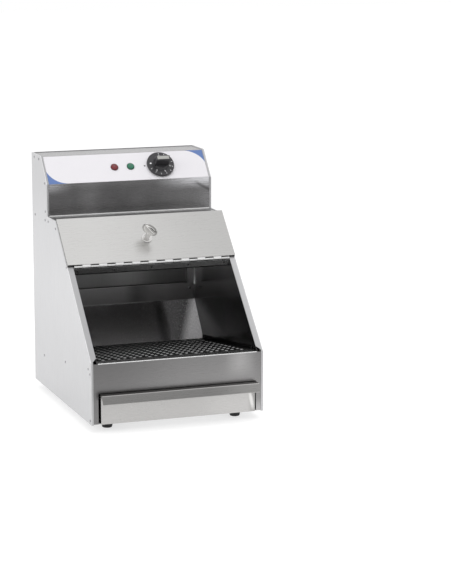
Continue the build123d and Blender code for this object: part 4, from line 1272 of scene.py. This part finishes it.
# ---------------------------------------------------------------- drawer
def drawer_painted_light(spot: Spot) -> Signal:
    """The drawer front in painted light: a mid-grey grip with bright folds, above a pale front.

    Args:
        spot: The surface point.

    Returns:
        How bright the sheet is there.
    """
    nose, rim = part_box("drawer_front")
    behind, below = spot.y - nose.y, rim.z - spot.z
    is_grip = behind.fall(0.01775, 0.02075)
    # Painted shade on the lip's top, and painted highlights along its folds.
    top = below.fall(0.0002, 0.0004) * behind.rise(0.00625, 0.00725)
    upper_fold = below.fall(0.0008, 0.0013) * behind.fall(0.00675, 0.00715)
    folds = below.rise(0.0144, 0.0150) + upper_fold
    grip = 0.45 + folds * 0.50 + spot.x.rise(0.05, 0.14) * 0.16
    # A painted glint on the front, which is a little darker towards its right end.
    bow = spot.x - (0.048 - spot.z) * 0.20
    glint = bow.bell(0.1378, 0.0052) * spot.z.bell(0.036, 0.024) * 0.8
    face = 0.80 + spot.x.rise(0.02, 0.10) * 0.09 - spot.x.rise(0.130, 0.147) * 0.30 + glint
    return (face * (1.0 - is_grip) + grip * is_grip) * (1.0 - top * 0.1)


@dataclass
class Drawer:
    """The crumb drawer and its grip lip."""

    edge: float = 0.0004

    def build(self) -> None:
        """Rounds and dresses the drawer."""
        steel = BrushedSteel("drawer_steel", (0.62, 0.61, 0.60), streak=0.04, painted_light=drawer_painted_light)
        softened("drawer_front", self.edge, steel, "drawer_steel")
        dress(BrushedSteel("pan_steel", (0.6, 0.6, 0.6), Grain.DEEP, 0.35), "crumb_drawer")


# ---------------------------------------------------------------- flap, hinge, lock, key
def lower_leaf(spot: Spot) -> Signal:
    """1 on the hinge's lower leaf and 0 on its knuckles and its upper leaf."""
    pin = JOINTS["flap_hinge"]["pos_m"]
    return (spot.z - pin[2]).fall(-0.0034, -0.0024)


def hinge_tone(spot: Spot) -> Signal:
    """The hinge, with its lower leaf in the flap's shade."""
    return 1.0 - lower_leaf(spot) * 0.55


def hinge_painted_sheen(spot: Spot) -> Signal:
    """A painted grey sheen on the lower leaf, in the flap's shade."""
    return lower_leaf(spot) * 0.22


def bow_place(spot: Spot) -> Signal:
    """How far a point of the key's bow is up and right of the bow's middle.

    Args:
        spot: The surface point.

    Returns:
        The distance in metres.
    """
    bow = Flap().bow_plane()
    lean = math.radians(26.4)
    way = bow.to_3x3() @ Vector((math.sin(lean), math.cos(lean), 0))
    return spot.along(way, bow.translation)


def bow_painted_shade(spot: Spot) -> Signal:
    """Painted shade: the bow darker towards its upper right rim."""
    return 1.0 - bow_place(spot).rise(0.0060, 0.0110) * 0.32


def bow_painted_highlight(spot: Spot) -> Signal:
    """Painted highlights: the bow's pale face, with a bright stripe along it."""
    place = bow_place(spot)
    return place.bell(0.0036, 0.0024) * 0.7 + place.fall(0.0060, 0.0110) * 0.25


def shank_painted_highlight(spot: Spot) -> Signal:
    """Painted highlights: the key's pale shank and the pale lower rim of its bow."""
    bow = Flap().bow_plane()
    return spot.along(bow.col[1].to_3d(), bow.translation).fall(-0.01154, -0.00804) * 0.6


@dataclass
class Flap:
    """The loading flap with its hinge, lock and key."""

    edge: float = 0.0004
    knuckles: int = 19
    knuckle_r: float = 0.0020
    knuckle_gap: float = 0.0003
    roll_turn: float = 290.0  # degrees that a knuckle is rolled round the pin
    roll_steps: int = 14
    pin_r: float = 0.00105
    leaf_t: float = 0.001
    leaf_edge: float = 0.001 / 6
    leaf_clear: float = 0.0013  # from the knuckles to the leaf's whole strip
    leaf_drop: float = 0.020  # how far the fixed leaf hangs below the pin
    leaf_under: float = 0.0185  # how far the moving leaf reaches under the flap
    ring_r: float = 0.0102
    ring_t: float = 0.003
    ring_edge: Flat = (0.0011, 0.0004)
    barrel_r: float = 0.0080
    barrel_len: float = 0.018
    plug_r: float = 0.0062
    plug_fit: float = 0.0001
    lock_sides: int = 40
    bore_edge: Flat = (0.0006, 0.0005)
    key_turn: float = math.radians(-40)
    key_t: float = 0.0022
    key_edge: float = 0.00035
    bow: Flat = (0.0150, 0.0140)
    bow_rise: float = 0.027
    bow_steps: int = 44
    dome_inset: float = 0.0026
    dome_high: float = 0.0026
    dome_sunk: float = 0.0002
    dome_step: float = math.radians(9)
    dome_sides: int = 48
    neck: float = 0.0045
    blade: float = 0.0040
    blade_len: float = 0.021
    blade_clear: float = 0.0003
    tip: Flat = (0.0012, 0.001)
    cut_depths: Sequence[float] = (0.0004, 0.0016, 0.0008, 0.0019, 0.0006)
    cut_start: float = 0.004
    cut_pitch: float = 0.0032
    cut_slope: Flat = (0.0011, 0.0019)

    def build(self) -> None:
        """Builds the flap's pieces."""
        steel = BrushedSteel(
            "flap_steel", (0.70, 0.695, 0.685), fine=0.06, streak=0.02, relief=0.02,
            painted_light=flap_painted_shade,
        )
        softened("loading_flap", self.edge, steel, "brushed_steel")
        self.hinge()
        self.lock()
        self.key()

    def hinge(self) -> None:
        """The two leaves with their rolled knuckles, and the pin's finish."""
        finish = BrushedSteel(
            "hinge_steel", (0.88, 0.88, 0.88), roughness=0.22, fine=0.08, painted_light=hinge_tone,
            painted_sheen=hinge_painted_sheen, sheen_color=(0.55, 0.55, 0.55),
        )
        section = plane(JOINTS["flap_hinge"]["pos_m"], (0, 1, 1), (1, 0, 0))
        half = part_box("hinge_pin")[1].x
        pitch = 2 * half / self.knuckles
        clear = self.knuckle_r + self.leaf_clear
        rolls = self.rolls(clear)
        for start, (name, strip) in enumerate(self.strips(clear).items()):
            form = Form()
            for index in range(start, self.knuckles, 2):
                x = -half + index * pitch + self.knuckle_gap / 2
                place = Matrix.Translation((x, 0, 0)) @ section
                form.prism(rolls[name], place, pitch - self.knuckle_gap)
            form.prism(strip, Matrix.Translation((-half, 0, 0)) @ section, 2 * half)
            form.eased(self.leaf_edge, 1).piece(
                f"{name}_rolled", frame["nodes"][name]["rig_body"], finish, "hinge_steel", [name]
            )
        pin = BrushedSteel("pin_steel", (0.35, 0.35, 0.35), Grain.NONE, 0.3)
        dress(pin, "hinge_pin", "hinge_rail")

    def rolls(self, clear: float) -> dict[str, list[Flat]]:
        """The cross-sections of each leaf's knuckles, with x up the slope and y out of it.

        Args:
            clear: How far the tab of a knuckle reaches from the pin.

        Returns:
            An outline for each leaf's CAD node.
        """
        r, t = self.knuckle_r, self.leaf_t
        ends = {
            "hinge_leaf_fixed": (180, -1, [(t - r, 0.0), (t - r, -clear), (-r, -clear)]),
            "hinge_leaf_moving": (90, 1, [(0.0, r - t), (clear, r - t), (clear, r)]),
        }
        outlines = {}
        for name, (start, way, tab) in ends.items():
            step = way * self.roll_turn / self.roll_steps
            turns = [math.radians(start + step * i) for i in range(self.roll_steps + 1)]
            outer = [(r * math.cos(a), r * math.sin(a)) for a in turns]
            inner = [(self.pin_r * math.cos(a), self.pin_r * math.sin(a)) for a in turns[:0:-1]]
            outlines[name] = inner + tab + outer
        return outlines

    def strips(self, clear: float) -> dict[str, list[Flat]]:
        """The cross-sections of the leaves' flat strips, in the same plane as the knuckles'.

        Args:
            clear: How far from the pin the strips start.

        Returns:
            An outline for each leaf's CAD node, the fixed one first.
        """
        r, t = self.knuckle_r, self.leaf_t
        down, up = -self.leaf_drop, self.leaf_under
        return {
            "hinge_leaf_fixed": [(-r, down), (t - r, down), (t - r, -clear), (-r, -clear)],
            "hinge_leaf_moving": [(clear, r - t), (up, r - t), (up, r), (clear, r)],
        }

    def lock(self) -> None:
        """The lock's barrel with its ring-shaped face, and the plug's finish."""
        finish = BrushedSteel("lock_chrome", (0.78, 0.77, 0.76), Grain.NONE, 0.14, fine=0.05)
        bore = self.plug_r + self.plug_fit
        top, (edge, shoulder), (lip_in, lip_deep) = self.ring_t, self.ring_edge, self.bore_edge
        section = [
            (bore, -self.barrel_len), (self.barrel_r, -self.barrel_len), (self.barrel_r, 0.0),
            (self.ring_r, 0.0), (self.ring_r, top - edge),
            (self.ring_r - shoulder, top - shoulder), (self.ring_r - edge, top),
            (bore + lip_in, top), (bore, top - lip_deep),
        ]
        Form().tube(section, joint_plane("key_turn"), self.lock_sides).piece(
            "lock_barrel_turned", "flap", finish, "chrome", ["lock_barrel"]
        )
        dress(finish, "lock_plug")

    def key(self) -> None:
        """The key with its notched blade, and a dome on each side of its bow."""
        base = self.bow_plane() @ Matrix.Translation((0, 0, -self.key_t / 2))
        # Painted shade on the bow, and painted highlights on the shank and the bow's lower rim.
        nickel = BrushedSteel(
            "key_nickel", (0.80, 0.79, 0.78), Grain.NONE, 0.18, fine=0.05, painted_light=bow_painted_shade,
            painted_sheen=shank_painted_highlight, sheen_color=(0.88, 0.87, 0.85),
        )
        Form().prism(self.key_outline(), base, self.key_t).eased(self.key_edge).piece(
            "key_cut", "key", nickel, "chrome", ["key"]
        )
        # The domes: polished nickel with painted shade and painted highlights.
        polish_and_sheen = BrushedSteel(
            "bow_polish_and_sheen", (0.88, 0.87, 0.85), Grain.NONE, 0.12, fine=0.05, painted_light=bow_painted_shade,
            painted_sheen=bow_painted_highlight, sheen_color=(0.97, 0.96, 0.94),
        )
        wide, tall = self.bow
        radius = wide - self.dome_inset
        turns = [self.dome_step * i for i in range(1, 10)]
        dome = [(radius * math.cos(a), self.dome_high * math.sin(a)) for a in turns]
        oval = Matrix.Diagonal((1.0, tall / wide, 1.0, 1.0))
        domes = Form()
        for side in (Matrix.Translation((0, 0, self.key_t)), Matrix.Rotation(math.pi, 4, "Y")):
            domes.lathe([(radius, -self.dome_sunk), *dome], base @ side @ oval, self.dome_sides)
        domes.piece("key_bow_domes", "key", polish_and_sheen, "chrome")

    def bow_plane(self) -> Matrix:
        """The key's middle plane at its bow, with y along the lock's axis.

        Returns:
            The plane.
        """
        lock = joint_plane("key_turn")
        turned = lock.to_3x3() @ Matrix.Rotation(self.key_turn, 3, "Z")
        across, out = turned.col[0], turned.col[2]
        middle = Matrix.Translation((0, self.bow_rise, 0))
        return plane(lock.translation, across, across.cross(out)) @ middle

    def key_outline(self) -> list[Flat]:
        """The key's outline, from the bow down to the notched blade.

        Returns:
            The outline, counter-clockwise, with the bow's middle at the origin.
        """
        wide, tall = self.bow
        opening = math.asin(self.neck / wide)
        step = (math.tau - 2 * opening) / self.bow_steps
        turns = [opening - math.pi / 2 + step * i for i in range(self.bow_steps + 1)]
        bow = [(wide * math.cos(a), tall * math.sin(a)) for a in turns]
        shoulder = self.ring_t + self.blade_clear - self.bow_rise
        end = shoulder - self.blade_len
        side, (inset, chamfer) = self.blade, self.tip
        flank, root = self.cut_slope
        cuts = []
        for i, deep in enumerate(self.cut_depths):
            y = shoulder - self.cut_start - i * self.cut_pitch
            cuts += [(-side, y), (deep - side, y - flank), (deep - side, y - root)]
        left = [(-self.neck, shoulder), (-side, shoulder), *cuts, (-side, end + chamfer)]
        tip = [(inset - side, end), (side - inset, end), (side, end + chamfer)]
        return bow + left + tip + [(side, shoulder), (self.neck, shoulder)]


# ---------------------------------------------------------------- controls
@dataclass
class Controls:
    """Film, lamps, dial, terminal block and cable gland."""

    film_t: float = 0.0004
    dial_gap: float = 0.0012
    dial_r: float = 0.0266
    dial_t: float = 0.0042
    dial_foot: float = 0.0005
    dial_edge: Flat = (0.0011, 0.00033)
    dial_sides: int = 72
    hub_r: float = 0.0145
    hub_t: float = 0.0045
    hub_flare: Flat = (0.0008, 0.0006)
    hub_edge: Flat = (0.0014, 0.0008)
    hub_taper: float = 0.0024
    grip_len: float = 0.0280
    grip_w: float = 0.0110
    grip_foot: float = 0.0140
    grip_h: float = 0.0200
    grip_edge: float = 0.0012
    insert: Point = (0.0230, 0.0072, 0.0010)
    insert_edge: float = 0.0004
    lamp_r: float = 0.0075
    lamp_len: float = 0.022
    lamp_neck: float = 0.0054
    lamp_sides: int = 48
    lens_r: float = 0.0063
    lens_step: float = math.radians(10)
    lens_sunk: float = 0.0004
    lens_foot: float = 0.0006
    bezel_t: float = 0.0016
    bezel_edge: Sequence[Flat] = ((0.0, 0.55), (0.0003, 0.85), (0.0008, 1.0))  # inset, height share
    bezel_lip: Flat = (0.0004, 0.0005)
    dome_h: float = 0.0020
    glint: Sequence[Flat] = ((0.0021, 0.0), (0.0019, 0.0005), (0.0010, 0.0007))
    glint_place: Point = (-0.0008, 0.0008, -0.0009)  # from the top of the lens
    glint_sides: int = 24
    glint_tint: Flat = (0.6, 0.05)  # share of the lamp's colour, and white added to it
    rim_painted_shade: float = 0.45  # share of the lamp's colour: a darker copy, painted shade on the bezel
    tick_in: float = 0.0215
    tick_out: float = 0.0246
    tick_w: float = 0.0007
    tick_step: float = math.radians(27)
    ticks: int = 10
    off_mark_r: float = 0.0018
    off_mark_sides: int = 20
    off_place: Flat = (-0.0198, 0.0016)
    print_t: float = 0.00012
    numeral: float = 0.0042
    numeral_r: float = 0.0183
    first_number: int = 20
    number_step: int = 7

    def build(self) -> None:
        """Builds the control panel's pieces."""
        dress(Plastic("film_white", shade(227, 225, 229), 0.35, mottle=0.03), "fascia_film")
        dress(Plastic("film_blue", shade(92, 120, 176), 0.35, mottle=0.05), "film_corners")
        dress(Plastic("index_black", shade(16, 16, 18), 0.5), "index_mark")
        spindle = BrushedSteel("spindle_steel", (0.6, 0.6, 0.6), Grain.NONE, 0.2)
        dress(spindle, "thermostat_spindle")
        black = Plastic("black_plastic", shade(52, 51, 54), 0.36, coat=0.15)
        dress(black, "cable_gland", "gland_nut", "terminal_block")
        self.dial(black)
        self.lamp("red_pilot_lamp", shade(116, 20, 30), "red_lens")
        self.lamp("green_pilot_lamp", shade(26, 112, 82), "green_lens")

    def dial(self, finish: Finish) -> None:
        """The dial with its hub and grip, the pale insert and the printed scale.

        Args:
            finish: The finish of dial and grip.
        """
        back = Matrix.Translation((0, 0, self.film_t + self.dial_gap))
        base = joint_plane("knob_turn", flip=True) @ back
        Form().lathe(self.dial_profile(), base, self.dial_sides).piece(
            "thermostat_dial", "knob", finish, "black_plastic", ["thermostat_knob"]
        )
        face = base @ Matrix.Translation((0, 0, self.dial_t))
        self.grip(face, finish)
        pale = Plastic("insert_grey", shade(172, 172, 168), 0.5)
        length, width, thick = self.insert
        cap = face @ Matrix.Translation((0, 0, self.grip_h))
        insert = Form().block((-length / 2, -width / 2, 0), (length / 2, width / 2, thick), cap)
        insert.eased(self.insert_edge).piece(
            "grip_insert", "knob", pale, "grey_insert", ["knob_insert"]
        )
        self.scale(face)

    def dial_profile(self) -> list[Flat]:
        """The dial's outline, from its back to the top of its hub.

        Returns:
            Radius and height of each point.
        """
        rim, hub, top = self.dial_r, self.hub_r, self.dial_t
        (edge, shoulder), (flare, flare_h) = self.dial_edge, self.hub_flare
        hub_top, (hub_in, hub_deep) = top + self.hub_t, self.hub_edge
        return [
            (rim - self.dial_foot, 0.0), (rim, self.dial_foot), (rim, top - edge),
            (rim - shoulder, top - shoulder), (rim - edge, top), (hub + flare, top),
            (hub, top + flare_h), (hub - hub_in, hub_top - hub_deep),
            (hub - self.hub_taper, hub_top),
        ]

    def grip(self, face: Matrix, finish: Finish) -> None:
        """The raised grip, wider at its foot.

        Args:
            face: The dial's face.
            finish: The grip's finish.
        """
        form = Form()
        x = self.grip_len / 2
        rings = [
            form.ring([(-x, -y, z), (x, -y, z), (x, y, z), (-x, y, z)], face)
            for y, z in ((self.grip_foot / 2, 0.0), (self.grip_w / 2, self.grip_h))
        ]
        form.capped(rings).eased(self.grip_edge, 3).piece(
            "knob_grip", "knob", finish, "black_plastic"
        )

    def scale(self, face: Matrix) -> None:
        """The dial's printed marks: an off dot, ticks and plain numbers.

        Args:
            face: The dial's face.
        """
        paint = Plastic("dial_print", shade(240, 240, 242), 0.5)
        marks = Form()
        low = (self.tick_in, -self.tick_w / 2, 0)
        high = (self.tick_out, self.tick_w / 2, self.print_t)
        for index in range(1, self.ticks + 1):
            turn = Matrix.Rotation(math.pi + index * self.tick_step, 4, "Z")
            marks.block(low, high, face @ turn)
        dot = face @ Matrix.Translation((*self.off_place, 0))
        marks.prism(round_outline(self.off_mark_r, self.off_mark_sides), dot, self.print_t)
        marks.piece("dial_marks", "knob", paint, "grey_insert")
        for index in range(2, self.ticks + 1, 2):
            text = str(self.first_number + index * self.number_step)
            self.number(text, index * self.tick_step, face, paint)

    def number(self, text: str, turn: float, face: Matrix, paint: Finish) -> None:
        """One plain number of the dial's scale.

        Args:
            text: Its digits.
            turn: The angle of its tick, from the off dot.
            face: The dial's face.
            paint: Its finish.
        """
        curve = bpy.data.curves.new(f"dial_number_{text}", "FONT")
        curve.body = text
        curve.size = self.numeral
        curve.align_x = "CENTER"
        curve.align_y = "CENTER"
        curve.extrude = self.print_t / 2
        curve.materials.append(paint.material())
        number = placed(curve.name, curve)
        angle = math.pi + turn
        x, y = self.numeral_r * math.cos(angle), self.numeral_r * math.sin(angle)
        place = Matrix.Translation((x, y, self.print_t / 2))
        number.matrix_world = face @ place @ Matrix.Rotation(turn, 4, "Z")
        settle(number, "knob")

    def lamp(self, node: str, color: Color, slot: str) -> None:
        """A pilot lamp with a bezel, a domed lens and a glint on it.

        Args:
            node: Its CAD node.
            color: Its colour.
            slot: Its material slot.
        """
        low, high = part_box(node)
        panel = joint_plane("knob_turn", flip=True)
        across = (low.x + high.x) / 2 - panel.translation.x
        base = panel @ Matrix.Translation((across, 0, self.film_t))
        top, (lip_in, lip_deep) = self.bezel_t, self.bezel_lip
        edge = [(self.lamp_r - inset, top * share) for inset, share in self.bezel_edge]
        bezel = [
            (self.lamp_neck, -self.lamp_len), (self.lamp_neck, 0.0), (self.lamp_r, 0.0), *edge,
            (self.lens_r, top), (self.lens_r - lip_in, top - lip_deep),
        ]
        # The bezel is a darker copy of the lens colour, as painted shade.
        dark = Plastic(f"{node}_rim", tuple(c * self.rim_painted_shade for c in color), 0.3, coat=0.3)
        Form().lathe(bezel, base, self.lamp_sides).piece(
            f"{node}_rim", "cabinet", dark, slot, [node]
        )
        foot = top - self.lens_sunk
        turns = [self.lens_step * i for i in range(9)]
        dome = [(self.lens_r * math.cos(a), foot + self.dome_h * math.sin(a)) for a in turns]
        lens = Plastic(f"{node}_lens", color, 0.12, relief=0.0, coat=0.6)
        Form().lathe([(self.lens_r, top - self.lens_foot), *dome], base, self.lamp_sides).piece(
            f"{node}_lens", "cabinet", lens, slot
        )
        share, white = self.glint_tint
        pale = tuple(share * c + white for c in color)
        summit = Matrix.Translation((0, 0, top + self.dome_h))
        glint = Plastic(f"{node}_glint", pale, 0.2, relief=0.0, coat=0.6)
        tip = base @ summit @ Matrix.Translation(self.glint_place)
        Form().lathe(self.glint, tip, self.glint_sides).piece(
            f"{node}_glint", "cabinet", glint, slot
        )


# ---------------------------------------------------------------- fasteners and feet
@dataclass
class Fasteners:
    """Rivets, back screws, the hinge pin's caps and the rubber feet."""

    sides: int = 16
    flat_share: float = 0.98  # share of a head's radius at its foot
    straight: float = 0.25  # share of a head's height below its dome
    dome_turn: float = math.radians(80)
    dome_steps: int = 4
    leaf_head: float = 0.0008  # height of the heads on the hinge's leaf
    pivot: Flat = (-0.0395, 0.2735)  # y and z of the pin's ends
    cap: Sequence[Flat] = ((0.0018, -0.0004), (0.0018, 0.0002), (0.0014, 0.0006), (0.0007, 0.0008))
    tread: Sequence[Flat] = ((0.70, 0.0), (0.80, 0.0006), (0.84, 0.002))  # radius share, height
    collar: Sequence[Flat] = ((0.97, 0.006), (1.0, 0.0045), (1.0, 0.0))  # radius share, depth
    foot_sides: int = 40

    def build(self) -> None:
        """Builds every group of heads, the hinge pin's caps and the feet."""
        rivet = BrushedSteel("rivet_steel", (0.36, 0.36, 0.37), Grain.NONE, 0.25)
        # The hinge's rivets get a darker copy of the rivet steel: painted shade, as they sit in the
        # flap's shade.
        dark = BrushedSteel("dark_rivet_steel", (0.3, 0.3, 0.3), Grain.NONE, 0.3)
        self.heads("right_side_rivets", (1, 0, 0), rivet)
        self.heads("left_side_rivets", (-1, 0, 0), rivet)
        self.heads("cover_rivets", (0, -1, 0), rivet)
        self.heads("back_screws", (0, 1, 0), rivet)
        self.heads("hinge_rivets", (0, -1, -1), dark)
        self.caps(rivet)
        rubber = Plastic("black_rubber", shade(62, 62, 63), 0.7)
        for node in ("left_front_foot", "left_rear_foot", "right_front_foot", "right_rear_foot"):
            self.foot(node, rubber)

    def heads(self, node: str, out: Point, finish: Finish) -> None:
        """Domed heads in the place of a node's flat ones.

        Args:
            node: The CAD node.
            out: The direction that the heads stand in.
            finish: Their finish.
        """
        form = Form()
        for low, high in solids(node):
            self.head(form, low, high, Vector(out).normalized())
        form.piece(f"{node}_domed", "cabinet", finish, "fastener_steel", [node])

    def head(self, form: Form, low: Vector, high: Vector, out: Vector) -> None:
        """Adds one domed head where a CAD head stands.

        Args:
            form: The group's form.
            low: The CAD head's lowest corner.
            high: Its highest corner.
            out: The direction that it stands in.
        """
        size = high - low
        radius = (size.x if out.z else size.z) / 2
        height = self.leaf_head if out.z else min(size)
        across = (0, 1, 0) if out.x else (1, 0, 0)
        base = plane((low + high) / 2 - out * height / 2, across, out)
        turns = [self.dome_turn * i / self.dome_steps for i in range(self.dome_steps + 1)]
        rise = height * (1.0 - self.straight)
        dome = [
            (radius * math.cos(turn), height * self.straight + rise * math.sin(turn))
            for turn in turns
        ]
        form.lathe([(radius * self.flat_share, 0.0), *dome], base, self.sides)

    def caps(self, finish: Finish) -> None:
        """The domed ends of the hinge's pin, on the outer sides.

        Args:
            finish: Their finish.
        """
        form = Form()
        for side in (-1, 1):
            end = plane((side * LAYOUT.half, *self.pivot), (0, 1, 0), (side, 0, 0))
            form.lathe(self.cap, end, self.sides)
        form.piece("pin_end_caps", "cabinet", finish, "fastener_steel")

    def foot(self, node: str, finish: Finish) -> None:
        """A turned rubber foot with a rounded tread.

        Args:
            node: Its CAD node.
            finish: Its finish.
        """
        low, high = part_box(node)
        radius = (high.x - low.x) / 2
        base = Matrix.Translation(((low.x + high.x) / 2, (low.y + high.y) / 2, 0))
        tread = [(radius * share, height) for share, height in self.tread]
        collar = [(radius * share, high.z - deep) for share, deep in self.collar]
        Form().lathe(tread + collar, base, self.foot_sides).piece(
            f"{node}_turned", "cabinet", finish, "black_rubber", [node]
        )


def main() -> None:
    """Builds the studio and every sub-assembly."""
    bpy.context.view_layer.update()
    for part in (Studio(), Cabinet(), Well(), Drawer(), Flap(), Controls(), Fasteners()):
        part.build()
        log.info("built %s", type(part).__name__)


if __name__ == "__main__":
    main()
